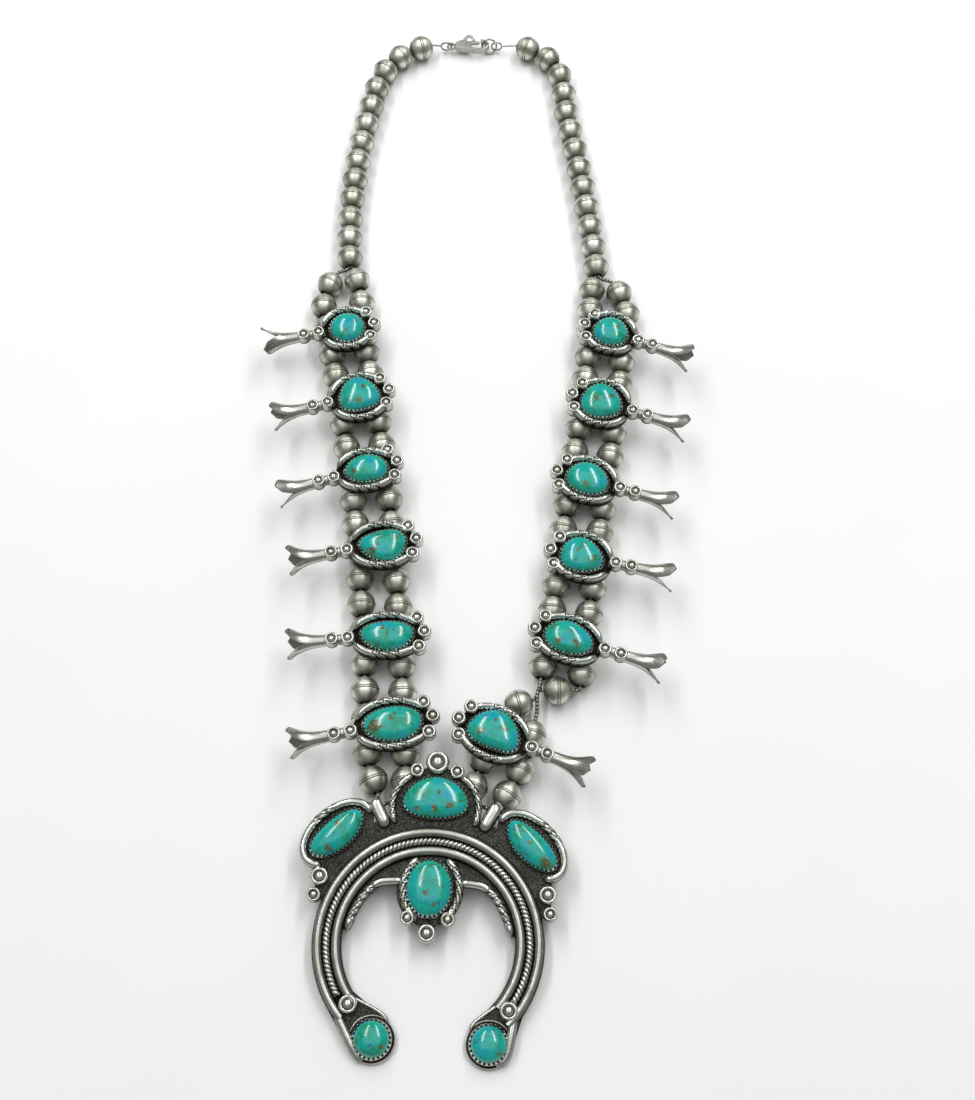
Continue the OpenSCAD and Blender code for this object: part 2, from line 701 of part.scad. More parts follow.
// Strings of beads. A string is a list of stations, x, y, z and 1 where a
// bead sits between this station and the next. The thread runs through all
// stations, and each bead lies in the middle of its stretch.
function curve_point(p0, p1, p2, p3, t) =
  0.5 * (2 * p1 + (p2 - p0) * t + (2 * p0 - 5 * p1 + 4 * p2 - p3) * t * t
    + (3 * p1 - p0 - 3 * p2 + p3) * t * t * t);
function smooth_route(p) =
  let (m = len(p) - 1, q = concat([2 * p[0] - p[1]], p, [2 * p[m] - p[m - 1]]))
    concat([for (k = [0 : m - 1], j = [0 : curve_steps - 1])
      curve_point(q[k], q[k + 1], q[k + 2], q[k + 3], j / curve_steps)], [p[m]]);
// In a bend the beads' rims meet first, so a bend counts as a shorter run.
function heading(p, i) = atan2(p[i + 1][1] - p[i][1], p[i + 1][0] - p[i][0]);
function bend_at(p, i) =
  i == 0 || i > len(p) - 3 ? 0
    : let (turn = abs(heading(p, i + 1) - heading(p, i))) min(turn, 360 - turn);
function run_lengths(p, i = 0, total = 0) =
  i == len(p) - 1 ? [total]
    : concat([total], run_lengths(p, i + 1,
        total + norm(p[i + 1] - p[i]) - rim_r * bend_at(p, i) * PI / 180));
function point_along(p, runs, s) =
  let (k = [for (i = [0 : len(p) - 2]) if (runs[i] <= s + 0.0001) i],
       i = k[len(k) - 1],
       t = (s - runs[i]) / (runs[i + 1] - runs[i]))
    p[i] + (p[i + 1] - p[i]) * t;
// Stations for count beads spaced evenly along a route on the table plan.
function even_stations(route, count) =
  let (p = smooth_route(route), runs = run_lengths(p), total = runs[len(runs) - 1])
    [for (i = [0 : count])
      let (q = point_along(p, runs, total * i / count))
        [q[0], q[1], thread_z, i < count ? 1 : 0]];

neck_beads = 13;
span_beads = 3;
end_beads = 2;
loop_half = loop_t / 2 + eye_gap;

// The stations of one strand from its top to the last blossom and its end.
function spread_all(route) = [for (p = route) spread_xy(p)];
function top_route(side, end) =
  side < 0 ? (end > 0 ? LEFT_OUTER_TOP : LEFT_INNER_TOP)
    : (end > 0 ? RIGHT_OUTER_TOP : RIGHT_INNER_TOP);
function end_route(side, end) =
  side < 0 ? (end > 0 ? LEFT_OUTER_END : LEFT_INNER_END)
    : (end > 0 ? RIGHT_OUTER_END : RIGHT_INNER_END);
function towards(p, q, distance) = p + (q - p) / norm(q - p) * distance;
function span(a, b) = even_stations([towards(a, b, loop_half), towards(b, a, loop_half)], span_beads);
function slack_span(a, rows, b) =
  let (path = [for (r = rows) [r[0] * spread, r[1] * spread, thread_z + r[2], r[3]]],
       from = towards(a, xy(path[0]), loop_half),
       last = path[len(path) - 1],
       to = towards(b, xy(last), loop_half))
    concat([[from[0], from[1], thread_z, 1]], path, [[to[0], to[1], thread_z, 0]]);
function is_slack(side, i) = side > 0 && i == 4;
function strand(side, end) =
  let (top = spread_all(top_route(side, end)),
       tail = spread_all(end_route(side, end)),
       first = loop_xy(side, 0, end),
       last = loop_xy(side, 5, end))
    concat(
      even_stations(concat(top, [towards(first, top[2], loop_half)]), span_beads),
      [for (i = [0 : 4])
        each is_slack(side, i)
          ? slack_span(loop_xy(side, i, end), end > 0 ? RIGHT_OUTER_SLACK : RIGHT_INNER_SLACK,
              loop_xy(side, i + 1, end))
          : span(loop_xy(side, i, end), loop_xy(side, i + 1, end))],
      even_stations(concat([towards(last, tail[0], loop_half)], tail), end_beads));
function neck(side) = even_stations(spread_all(side < 0 ? LEFT_NECK : RIGHT_NECK), neck_beads);

// One bead, a ball cut flat at its ends, with its bore along x.
module bead() {
  intersection() {
    difference() {
      sphere(d = bead_d, $fn = 48);
      rotate([0, 90, 0])
        cylinder(d = bead_bore, h = 2 * bead_d, center = true, $fn = 24);
    }
    cube([bead_l, 2 * bead_d, 2 * bead_d], center = true);
  }
}

module bead_string(stations) {
  color("gainsboro")
    for (i = [0 : len(stations) - 2])
      if (stations[i][3] == 1) {
        p = xyz(stations[i]);
        q = xyz(stations[i + 1]);
        centred()
          translate((p + q) / 2)
            rotate([0, 0, atan2(q[1] - p[1], q[0] - p[0])])
              bead();
      }
}

// A round tube along a list of points, with flat ends.
function ring_at(points, i, r) =
  let (m = len(points) - 1,
       ahead = points[min(i + 1, m)] - points[max(i - 1, 0)],
       t = ahead / norm(ahead),
       side = cross([0, 0, 1], t) / norm(cross([0, 0, 1], t)),
       up = cross(t, side))
    [for (k = [0 : thread_sides - 1])
      points[i] + r * (cos(360 * k / thread_sides) * side + sin(360 * k / thread_sides) * up)];
module tube(points, r) {
  n = thread_sides;
  m = len(points);
  polyhedron(
    [for (i = [0 : m - 1]) each ring_at(points, i, r)],
    concat(
      [[for (k = [n - 1 : -1 : 0]) k]],
      [for (i = [0 : m - 2], k = [0 : n - 1])
        [i * n + k, i * n + (k + 1) % n, (i + 1) * n + (k + 1) % n, (i + 1) * n + k]],
      [[for (k = [0 : n - 1]) (m - 1) * n + k]]),
    convexity = 10);
}

// The thread comes down the neck and the outer strand, turns through the
// naja's bail and goes back up the inner strand into the last neck bead.
parting_shift = thread_d / 2 + 0.08;
function xyz(p) = [p[0], p[1], p[2]];
function beside(p, q, shift) =
  let (d = [q[0] - p[0], q[1] - p[1]], n = [-d[1], d[0]] / norm(d))
    [p[0] + n[0] * shift, p[1] + n[1] * shift, p[2]];
function bail_turn(side) =
  let (eye = naja_point([side * bail_eye[0], bail_eye[1]], base_t / 2),
       along = -naja_turn + side * (90 - bail_slope),
       out = side * [cos(along), -sin(along)],
       w = bail_w / 2 + thread_d)
    [[eye[0] + out[0] * 1.15 * w, eye[1] + out[1] * 1.15 * w + 1.2, eye[2] - 3.1],
     [eye[0] + out[0] * 1.2 * w, eye[1] + out[1] * 1.2 * w + 0.5, eye[2] - 0.8],
     [eye[0] + out[0] * 0.6 * w, eye[1] + out[1] * 0.6 * w, eye[2]],
     [eye[0] - out[0] * 0.6 * w, eye[1] - out[1] * 0.6 * w, eye[2]],
     [eye[0] - out[0] * 1.2 * w, eye[1] - out[1] * 1.2 * w, eye[2] - 0.8],
     [eye[0] - out[0] * 1.5 * w, eye[1] - out[1] * 1.5 * w + 0.5, eye[2] - 3.1]];
function reversed(list) = [for (i = [len(list) - 1 : -1 : 0]) list[i]];
function thread_points(side) =
  let (top = neck(side), outer = strand(side, 1), inner = strand(side, -1),
       m = len(top) - 1,
       outer_side = side * parting_shift)
    concat(
      [for (i = [0 : m - 1]) xyz(top[i])],
      [beside(top[m], top[m - 1], -outer_side)],
      [for (p = outer) xyz(p)],
      bail_turn(side),
      [for (p = reversed(inner)) xyz(p)],
      [beside(top[m], top[m - 1], outer_side),
       beside(0.8 * top[m] + 0.2 * top[m - 1], 0.6 * top[m] + 0.4 * top[m - 1], outer_side)]);
module thread(side) {
  color("dimgray")
    centred()
      tube(thread_points(side), thread_d / 2);
}

// The clasp lies along x with its middle at the origin of its own frame.
clasp_x = (spread_xy(LEFT_NECK[0])[0] + spread_xy(RIGHT_NECK[0])[0]) / 2 - 2.3;
ring_lean = 62;
ring_r = (ring_d - ring_wire) / 2;
clasp_z = ring_d / 2 * sin(ring_lean) + 0.1;
eye_x = -clasp_l / 2 + 1.6;
claw_x = clasp_l / 2 - 4.2;
claw_hole = [3, 1.7];
eye_t = 0.5 * clasp_t;
pin_at = [-0.165 * clasp_l, 1.1];
pin_r = 0.5;
lever_t = clasp_t - 1.4;
slot_t = lever_t + 0.3;
lever_tip_x = claw_x + 0.6;
hook_ring_x = claw_x + 0.5 * claw_hole[0];
ring_x = hook_ring_x + ring_r;

module at_clasp() {
  centred()
    translate([clasp_x, clasp_y, clasp_z])
      children();
}

// The eye at the clasp's tail, thinner than its body.
module tail_outline() {
  difference() {
    union() {
      translate([eye_x, 0])
        circle(r = 1.6, $fn = 32);
      translate([eye_x, -0.9])
        square([2, 1.8]);
    }
    translate([eye_x, 0])
      circle(r = 0.95, $fn = 32);
  }
}

module claw_outline() {
  difference() {
    union() {
      polygon([[eye_x + 1.7, -1.1], [pin_at[0], -1.8], [claw_x - 1.5, -2.45], [claw_x - 0.5, 2.4],
        [pin_at[0], 2.2], [eye_x + 1.7, 1.1]]);
      translate([claw_x, 0])
        polygon(outline(claw_hole[0] + 1.15, claw_hole[1] + 1));
    }
    translate([claw_x, 0])
      polygon(outline(claw_hole[0], claw_hole[1]));
    polygon([[pin_at[0] + 1.7, 3], [pin_at[0] + 1.7, 0.6], [claw_x, 0.9], [lever_tip_x + 0.3, 0.9],
      [lever_tip_x + 0.3, 3]]);
  }
}

module clasp_body() {
  color("silver")
    at_clasp() {
      difference() {
        translate([0, 0, -clasp_t / 2])
          linear_extrude(clasp_t)
            claw_outline();
        translate([0, 0, -slot_t / 2])
          linear_extrude(slot_t) {
            translate(pin_at)
              circle(r = 1.4, $fn = 32);
            polygon([pin_at + [0, 3], pin_at + [-1.3, 0], pin_at + [0, -1.2],
              [claw_x - 1, -1.4], [claw_x + 1, 3]]);
          }
      }
      translate([0, 0, -eye_t / 2])
        linear_extrude(eye_t)
          tail_outline();
      translate([pin_at[0], pin_at[1], -clasp_t / 2 + 0.1])
        cylinder(r = pin_r, h = clasp_t - 0.2, $fn = 24);
    }
}

// The lever shuts the claw. Its open triangle is the thumb piece.
module clasp_lever() {
  color("gainsboro")
    at_clasp()
      translate([0, 0, -lever_t / 2])
        linear_extrude(lever_t)
          difference() {
            union() {
              translate(pin_at)
                circle(r = 1.1, $fn = 32);
              polygon([pin_at + [0, -0.5], [lever_tip_x, 1.1], [lever_tip_x, 2], [2.9, 2.2],
                [1.6, 4.8], [0.6, thumb_y], [-0.6, 5], pin_at + [0, 1]]);
            }
            translate(pin_at)
              circle(r = pin_r + seat_gap, $fn = 24);
            polygon([pin_at + [2, 1.2], [-0.2, 4.2], [0.5, 4.6], [1, 4.2], [2, 2.3]]);
          }
}

module clasp_ring() {
  color("silver")
    at_clasp()
      translate([ring_x, 0, 0])
        rotate([ring_lean, 0, 0])
          rotate_extrude($fn = 48)
            translate([ring_r, 0])
              circle(d = ring_wire, $fn = 16);
}

// The eye at the end of a thread, and its stub in the end bead's bore.
end_loop_r = 1.9;
module end_loop(from, eye) {
  reach = from - eye;
  length = norm(reach);
  color("silver")
    centred()
      translate(eye) {
        rotate([90, 0, 0])
          rotate_extrude($fn = 48)
            translate([end_loop_r, 0])
              circle(d = ring_wire, $fn = 16);
        rotate([0, 90 - asin(reach[2] / length), atan2(reach[1], reach[0])])
          translate([0, 0, end_loop_r])
            cylinder(d = ring_wire, h = length - end_loop_r, $fn = 16);
      }
}

module left_end_loop() {
  end_loop(xyz(neck(-1)[0]) + [rest_gap, 0, 0],
    [clasp_x + eye_x - end_loop_r + 0.1, clasp_y, clasp_z]);
}

module right_end_loop() {
  end_loop(xyz(neck(1)[0]) - [rest_gap, 0, 0],
    [clasp_x + ring_x + ring_r + 0.1, clasp_y, clasp_z]);
}

naja();
top_stone();
ear_stone(-1);  // left_ear_stone
ear_stone(1);  // right_ear_stone
arch_stone();
tip_stone(-1);  // left_tip_stone
tip_stone(1);  // right_tip_stone
blossom(-1, 0);  // left_blossom_1
blossom(-1, 1);  // left_blossom_2
blossom(-1, 2);  // left_blossom_3
blossom(-1, 3);  // left_blossom_4
blossom(-1, 4);  // left_blossom_5
blossom(-1, 5);  // left_blossom_6
blossom(1, 0);  // right_blossom_1
blossom(1, 1);  // right_blossom_2
blossom(1, 2);  // right_blossom_3
blossom(1, 3);  // right_blossom_4
blossom(1, 4);  // right_blossom_5
blossom(1, 5);  // right_blossom_6
blossom_stone(-1, 0);  // left_stone_1
blossom_stone(-1, 1);  // left_stone_2
blossom_stone(-1, 2);  // left_stone_3
blossom_stone(-1, 3);  // left_stone_4
blossom_stone(-1, 4);  // left_stone_5
blossom_stone(-1, 5);  // left_stone_6
blossom_stone(1, 0);  // right_stone_1
blossom_stone(1, 1);  // right_stone_2
blossom_stone(1, 2);  // right_stone_3
blossom_stone(1, 3);  // right_stone_4
blossom_stone(1, 4);  // right_stone_5
blossom_stone(1, 5);  // right_stone_6
bead_string(neck(-1));  // left_neck_beads
bead_string(strand(-1, 1));  // left_outer_beads
bead_string(strand(-1, -1));  // left_inner_beads
bead_string(neck(1));  // right_neck_beads
bead_string(strand(1, 1));  // right_outer_beads
bead_string(strand(1, -1));  // right_inner_beads
thread(-1);  // left_thread
thread(1);  // right_thread
left_end_loop();
right_end_loop();
clasp_body();
clasp_lever();
clasp_ring();
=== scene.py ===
# %% [markdown]
# # A squash blossom necklace on a table
#
# The necklace is silver and turquoise. It was modelled in CAD first, so that
# every bead and stone has its real size and place. Here each visible piece
# gets the form and finish that a silversmith gives it. The script is read
# from top to bottom, like a notebook: text first, then a short step of code.

import bmesh
import bpy
import numpy as np
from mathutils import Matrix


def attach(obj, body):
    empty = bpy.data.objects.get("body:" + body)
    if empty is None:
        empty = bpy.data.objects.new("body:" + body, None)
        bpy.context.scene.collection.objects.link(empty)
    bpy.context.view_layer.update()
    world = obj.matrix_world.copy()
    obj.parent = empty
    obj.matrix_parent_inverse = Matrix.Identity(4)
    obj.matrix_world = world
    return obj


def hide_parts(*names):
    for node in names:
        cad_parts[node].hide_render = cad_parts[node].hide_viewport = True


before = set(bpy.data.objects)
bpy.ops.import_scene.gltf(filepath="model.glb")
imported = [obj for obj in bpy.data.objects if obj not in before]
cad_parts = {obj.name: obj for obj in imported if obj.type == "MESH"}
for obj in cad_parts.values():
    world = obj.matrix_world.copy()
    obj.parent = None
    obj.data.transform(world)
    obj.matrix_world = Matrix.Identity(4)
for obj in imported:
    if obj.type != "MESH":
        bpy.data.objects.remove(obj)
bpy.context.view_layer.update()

MM = 0.001

# %% [markdown]
# The camera comes first, because everything is judged through it. The
# photographer stood at the naja's end and looked down steeply, so the far end
# of the loop is only slightly foreshortened.
#
# The tables further down count from the point that the camera looks at.
# MIDDLE is the CAD model's origin in those numbers, in millimetres.

# %% Camera
MIDDLE = np.array([-3.293, 26.125, 0.0])
TARGET = -MIDDLE * MM
VIEW_ELEVATION = np.radians(65.0)
VIEW_DISTANCE = 0.5015
SENSOR_HEIGHT, LENS = 36.0, 51.6


def put_in(name, data):
    """A new object with this data, in the scene and at the origin."""
    thing = bpy.data.objects.new(name, data)
    bpy.context.scene.collection.objects.link(thing)
    return thing


camera_data = bpy.data.cameras.new("camera")
camera_data.sensor_fit = "VERTICAL"
camera_data.sensor_height = SENSOR_HEIGHT
camera_data.lens = LENS
camera = put_in("camera", camera_data)
backwards = np.array([0.0, -np.cos(VIEW_ELEVATION), np.sin(VIEW_ELEVATION)])
camera.location = TARGET + VIEW_DISTANCE * backwards
camera.rotation_euler = (np.pi / 2 - VIEW_ELEVATION, 0.0, 0.0)
bpy.context.scene.camera = camera
print("camera at", np.round(camera.location, 3))

# %% [markdown]
# Silver mirrors whatever is around it. A white room alone makes it look like
# paint, so the light comes from a few large soft panels with darker gaps
# between them: two narrow strips that draw a bright line down each side of a
# bead, and one large panel overhead.

# %% Light
STRIP_SIZE = (0.10, 1.1)


def soft_panel(name, place, size, watts):
    """A rectangular area light that faces the middle of the table. Its long side runs
    along the table, from the naja towards the clasp."""
    data = bpy.data.lights.new(name, "AREA")
    data.shape = "RECTANGLE"
    data.size, data.size_y = size
    data.energy = watts
    back = np.array(place) / np.linalg.norm(place)
    across = np.cross([0.0, 1.0, 0.0], back)
    across /= np.linalg.norm(across)
    # The nested list is read column by column.
    columns = [[*across, 0.0], [*np.cross(back, across), 0.0], [*back, 0.0], [*place, 1.0]]
    put_in(name, data).matrix_world = columns


soft_panel("strip_left", (-0.36, 0.42, 0.85), STRIP_SIZE, 3.8)
soft_panel("strip_right", (0.36, 0.42, 0.85), STRIP_SIZE, 4.2)
soft_panel("large_top", (0.0, 0.1, 1.2), (1.6, 1.5), 6.0)

world = bpy.data.worlds.new("room")
bpy.context.scene.world = world
world.use_nodes = True
background = world.node_tree.nodes["Background"]
background.inputs["Color"].default_value = (0.93, 0.96, 0.92, 1.0)
background.inputs["Strength"].default_value = 0.26
bpy.context.scene.view_settings.view_transform = "Standard"
print("panels:", [light.name for light in bpy.data.lights])

# %% [markdown]
# ## Surfaces
#
# Every new piece is a skin worked out with numpy. Most are a closed section
# carried along a path: each row of a block of points is one section. The rows
# are joined into quads, and the two ends are closed with a fan. A piece with
# its ends joined to each other, such as a bezel, needs no fans.

# %% Helpers for paths and turns
def smooth_step(x, low, high):
    """0 below low, 1 above high, with a soft S between."""
    t = np.clip((x - low) / (high - low), 0, 1)
    return t * t * (3 - 2 * t)


def whole_turn(count):
    """Angles once round a circle, in equal steps."""
    return np.linspace(0, 2 * np.pi, count, endpoint=False)


def points_of(*coordinates):
    """Points from their coordinates, each a block of numbers or one number for all."""
    return np.stack(np.broadcast_arrays(*coordinates), -1)


def unit(vectors):
    """Each vector divided by its length."""
    return vectors / np.linalg.norm(vectors, axis=-1, keepdims=True)


def level_normal(along):
    """The direction square to each step of a flat path, on its right."""
    return unit(points_of(along[..., 1], -along[..., 0]))


def distance_along(path):
    """The running sum of a path's steps."""
    return np.append(0, np.cumsum(np.linalg.norm(np.diff(path, axis=0), axis=1)))


def at_distance(s, walked, path):
    """The points at the distances s, where the path's own points lie at walked."""
    return points_of(*(np.interp(s, walked, column) for column in path.T))


def smooth_route(points, steps=8):
    """A curve through the points. Between two points it blends a cubic from their neighbours."""
    p = np.asarray(points, float)
    q = np.vstack([2 * p[0] - p[1], p, 2 * p[-1] - p[-2]])
    a, b, c, d = (q[k:len(q) - 3 + k, None, :] for k in range(4))
    t = (np.arange(steps) / steps)[None, :, None]
    bends = (2 * a - 5 * b + 4 * c - d) * t**2 + (3 * b - a - 3 * c + d) * t**3
    inner = 0.5 * (2 * b + (c - a) * t + bends)
    return np.vstack([inner.reshape(-1, p.shape[1]), p[-1:]])


def polar(r, degrees):
    """The flat point at a distance and an angle from the origin."""
    return points_of(r * np.cos(np.radians(degrees)), r * np.sin(np.radians(degrees)))


def rotation(axis, degrees):
    """A 4 x 4 turn about x, y or z."""
    c, s = np.cos(np.radians(degrees)), np.sin(np.radians(degrees))
    m = np.eye(4)
    i, j = {"x": (1, 2), "y": (2, 0), "z": (0, 1)}[axis]
    m[i, i], m[i, j], m[j, i], m[j, j] = c, -s, s, c
    return m


def shift(x, y, z=0.0):
    """A 4 x 4 move."""
    m = np.eye(4)
    m[:3, 3] = x, y, z
    return m


HOME = shift(*-MIDDLE)
print("the tables' origin lies at", HOME[:3, 3].tolist(), "mm")


# %% From rows of points to a closed skin
def skin(rings, loop=False, tarnish_and_shade=0.0):
    """Joins rings (rows x points x 3) into a closed skin. With loop, the last row joins the
    first. Otherwise a fan from each end ring's mean point closes the end."""
    rows, count = rings.shape[:2]
    points = rings.reshape(-1, 3)
    dark = np.broadcast_to(np.asarray(tarnish_and_shade, float), (rows, count)).reshape(-1)
    r, c = np.meshgrid(np.arange(rows if loop else rows - 1), np.arange(count), indexing="ij")
    r2, c2 = (r + 1) % rows, (c + 1) % count
    quads = np.stack([r * count + c, r * count + c2, r2 * count + c2, r2 * count + c], -1).reshape(-1, 4)
    fans = np.zeros((0, 3), int)
    if not loop:
        middle, last_row, k = len(points), (rows - 1) * count, np.arange(count)
        k2 = (k + 1) % count
        first = np.stack([np.full(count, middle), k2, k], -1)
        last = np.stack([np.full(count, middle + 1), last_row + k, last_row + k2], -1)
        fans = np.concatenate([first, last])
        points = np.concatenate([points, rings[0].mean(0)[None], rings[-1].mean(0)[None]])
        dark = np.append(dark, [dark[0], dark[-1]])
    return {"points": points, "quads": quads, "fans": fans, "tarnish_and_shade": dark}


def moved(part, matrix):
    """The part with a 4 x 4 matrix applied to its points."""
    out = dict(part)
    out["points"] = part["points"] @ matrix[:3, :3].T + matrix[:3, 3]
    return out


def volume(part):
    """Six times the enclosed volume: the sum of a . (b x c) over all triangles."""
    q = part["quads"]
    tri = np.concatenate([q[:, [0, 1, 2]], q[:, [0, 2, 3]], part["fans"]])
    a, b, c = (part["points"][tri[:, k]] for k in range(3))
    return float(np.einsum("ij,ij->i", a, np.cross(b, c)).sum())


def gathered(parts):
    """Several skins in one: their points, the corners of all faces in a row, the place in
    that row where each face starts, and the tarnish. The faces of a skin that encloses a
    negative volume are turned round, so that all look outwards."""
    points, corners, starts, dark, at, corner = [], [], [], [], 0, 0
    for part in parts:
        turned = volume(part) < 0
        for faces in (part["quads"], part["fans"]):
            faces = (faces[:, ::-1] if turned else faces) + at
            corners.append(faces.reshape(-1))
            starts.append(corner + faces.shape[1] * np.arange(len(faces)))
            corner += faces.size
        points.append(part["points"])
        dark.append(part["tarnish_and_shade"])
        at += len(part["points"])
    return [np.concatenate(rows) for rows in (points, corners, starts, dark)]


# %% From skins to a piece
# What a field holds where a skin has none: a place far from any pattern.
FAR = 9.0


def store(mesh, name, values):
    """Puts a field into the mesh, one number or one vector a point."""
    values = np.asarray(values, np.float32)
    if values.ndim == 1:
        mesh.attributes.new(name, "FLOAT", "POINT").data.foreach_set("value", values)
    else:
        mesh.attributes.new(name, "FLOAT_VECTOR", "POINT").data.foreach_set("vector", values.reshape(-1))


def piece(name, parts, material, node, sharp=0.75, underside_shade=0.0, fields=()):
    """One object from several skins, in place of a CAD node. The points are in millimetres.
    fields names what else the skins carry. underside_shade adds painted shade, in the same
    field as the patina, where the skin stands steep or faces the table: it grows as the
    normal's height falls. Edges that turn by more than sharp radians stay crisp."""
    points, corners, starts, dark = gathered(parts)
    mesh = bpy.data.meshes.new(name)
    mesh.vertices.add(len(points))
    mesh.vertices.foreach_set("co", (points * MM).astype(np.float32).reshape(-1))
    mesh.loops.add(len(corners))
    mesh.loops.foreach_set("vertex_index", corners.astype(np.int32))
    mesh.polygons.add(len(starts))
    mesh.polygons.foreach_set("loop_start", starts.astype(np.int32))
    mesh.update(calc_edges=True)
    normal = np.empty(3 * len(points), np.float32)
    mesh.vertex_normals.foreach_get("vector", normal)
    # Painted shade: faces that stand steep or face the table are darkened, on top of the patina.
    store(mesh, "tarnish_and_shade", np.clip(dark + underside_shade * smooth_step(-normal[2::3], -0.4, 0.45), 0, 1))
    for key in fields:
        rows = [part.get(key, np.full((len(part["points"]), 3), FAR)) for part in parts]
        store(mesh, key, np.concatenate(rows))
    mesh.shade_smooth()
    mesh.set_sharp_from_angle(angle=sharp)
    mesh.materials.append(material)
    thing = put_in(name, mesh)
    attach(thing, "necklace")
    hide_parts(node)


print("a skin of three rings of four points has", len(skin(np.zeros((3, 4, 3)))["quads"]), "quads")

# %% [markdown]
# ## Outlines
#
# Stones, bezels and back plates share one family of outlines: an ellipse that
# can be egg-shaped, bent like a bean and leaned over. A moved copy of it,
# pushed outwards along its normals, gives the strip round a stone.

# %% Stone outlines
DOME_POWER = 3.2


def outline(a, b, egg=0.0, bend=0.0, lean=0.0, n=72, t=None):
    """x = a cos t, y = b sin t (1 - egg cos t) + bend b cos 2t, turned by lean degrees."""
    t = whole_turn(n) if t is None else t
    u = a * np.cos(t)
    v = b * np.sin(t) * (1 - egg * np.cos(t)) + bend * b * (2 * np.cos(t) ** 2 - 1)
    c, s = np.cos(np.radians(lean)), np.sin(np.radians(lean))
    return points_of(u * c - v * s, u * s + v * c)


def outward_normal(shape):
    """The direction across a closed outline, from the points before and after."""
    return level_normal(np.roll(shape, -1, 0) - np.roll(shape, 1, 0))


def around(shape, rows):
    """Rings that follow an outline. A row is a share of the outline, a push along its
    normals and a height. Each may be one number or one a point."""
    normal = outward_normal(shape)
    rings = []
    for row in rows:
        share, push, z = (np.broadcast_to(np.asarray(v, float), len(shape))[:, None] for v in row)
        rings.append(np.hstack([shape * share + normal * push, z]))
    return np.array(rings)


def slab(shape, z0, z1, tarnish_and_shade=1.0, rim=0.25, edge=0.5):
    """A flat sheet with softened edges: rings from the middle of its top, over the rim, to
    the middle of its underside. edge is the rim's share of the tarnish."""
    top = [(0.02, 0, z1), (0.5, 0, z1), (1, -1.3 * rim, z1)]
    wall = [(1, -0.4 * rim, z1 - 0.12 * rim), (1, 0, z1 - rim), (1, 0, z0 + rim)]
    under = [(1, -rim, z0), (0.5, 0, z0), (0.02, 0, z0)]
    dark = np.repeat([1.0, edge, 0.3], 3)[:, None] * tarnish_and_shade
    return skin(around(shape, top + wall + under), tarnish_and_shade=dark)


def dome_share(level):
    """The law of every stone, steep beside its bezel and flat on top: the share of the
    outline at a share of the height is the root of 1 - level to a power."""
    return np.sqrt(1 - np.clip(level, 0, 1) ** DOME_POWER)


def dome(shape, height, rows=16):
    """A polished dome over an outline, by the dome law. The rings are closest at the top,
    and the underside is flat."""
    level = np.sin(np.linspace(0, 0.5 * np.pi, rows + 1)[:-1])
    under = [(0.05, 0, 0.0), (0.6, 0, 0.0), (0.97, 0, 0.0)]
    top = [(dome_share(v), 0, height * v) for v in level]
    return skin(around(shape, under + top + [(0.03, 0, height)]))


print("a test dome holds", len(dome(outline(8, 6), 4)["points"]), "points")

# %% [markdown]
# ## Wires, raindrops and bezels
#
# A bezel is a thin strip whose upper edge is filed into teeth and rubbed
# against the stone. A raindrop is a small ball, flattened and struck with a
# ring punch. A leaf wire is a heavy wire, thickest at its middle, where
# slanting chisel cuts suggest overlapping leaves. All three could be carved
# with modifiers, but a formula puts the tarnish into each groove as well,
# with painted shade added in a bezel's notches.

# %% Bezels
SEAT_GAP = 0.1
BEZEL_T = 0.5
WALL = SEAT_GAP + BEZEL_T


def toothed_bezel(shape, stone_foot, stone_height, foot, top, pitch=1.3, notch=0.8):
    """A strip round a stone. Its top edge lies on the dome, and its height there is a
    rounded saw-tooth of the distance walked along the outline."""
    closed = np.vstack([shape, shape[:1]])
    walked = distance_along(closed)
    teeth = max(int(round(walked[-1] / pitch)), 12)
    s = np.linspace(0, walked[-1], teeth * 8, endpoint=False)
    fine = at_distance(s, walked, closed)
    phase = (s / walked[-1] * teeth) % 1
    tooth = smooth_step(1 - np.abs(2 * phase - 1), 0.2, 0.6)
    z_top = top - notch * (1 - tooth)
    low, full = z_top - 0.45, top - 0.7 * notch

    def hug(z):
        return dome_share((z - stone_foot) / stone_height)

    # A row is a share of the outline, a push outwards, a height, the tarnish
    # on a tooth, and how much more dark there is in a notch, which is patina and
    # painted shade.
    rows = [(1, WALL + 0.04, foot, 0.9, 0.0),
            (1, WALL + 0.03, foot + 0.5 * (top - foot), 0.35, 0.0),
            (hug(full), 0.6, full - 0.25, 0.15, 0.0),
            (hug(full), 0.5, np.minimum(full, z_top), 0.1, 0.5),
            (hug(z_top), 0.2, z_top, 0.05, 1.0),
            (hug(z_top), 0.04, z_top - 0.06, 0.3, 1.0),
            (hug(low), 0.03, low, 0.8, 0.2),
            (1, SEAT_GAP, foot, 1.0, 0.0)]
    dark = np.array([tone + more * (1 - tooth) for *_, tone, more in rows])
    return skin(around(fine, [row[:3] for row in rows]), loop=True, tarnish_and_shade=np.clip(dark, 0, 1))


print("a test bezel has", len(toothed_bezel(outline(8, 6), 1, 4, 1, 3)["quads"]), "quads")

# %% Raindrops
# Shares of the radius and of the height, from the foot up to the middle.
DROP_PROFILE = [[0.02, 0], [0.85, 0], [1, 0.25], [1, 0.65], [0.96, 0.83], [0.87, 0.93], [0.74, 0.96],
                [0.63, 0.92], [0.56, 0.83], [0.49, 0.85], [0.4, 0.93], [0.22, 1], [0.02, 1.02]]
PUNCH_R, PUNCH_W = 0.56, 0.06


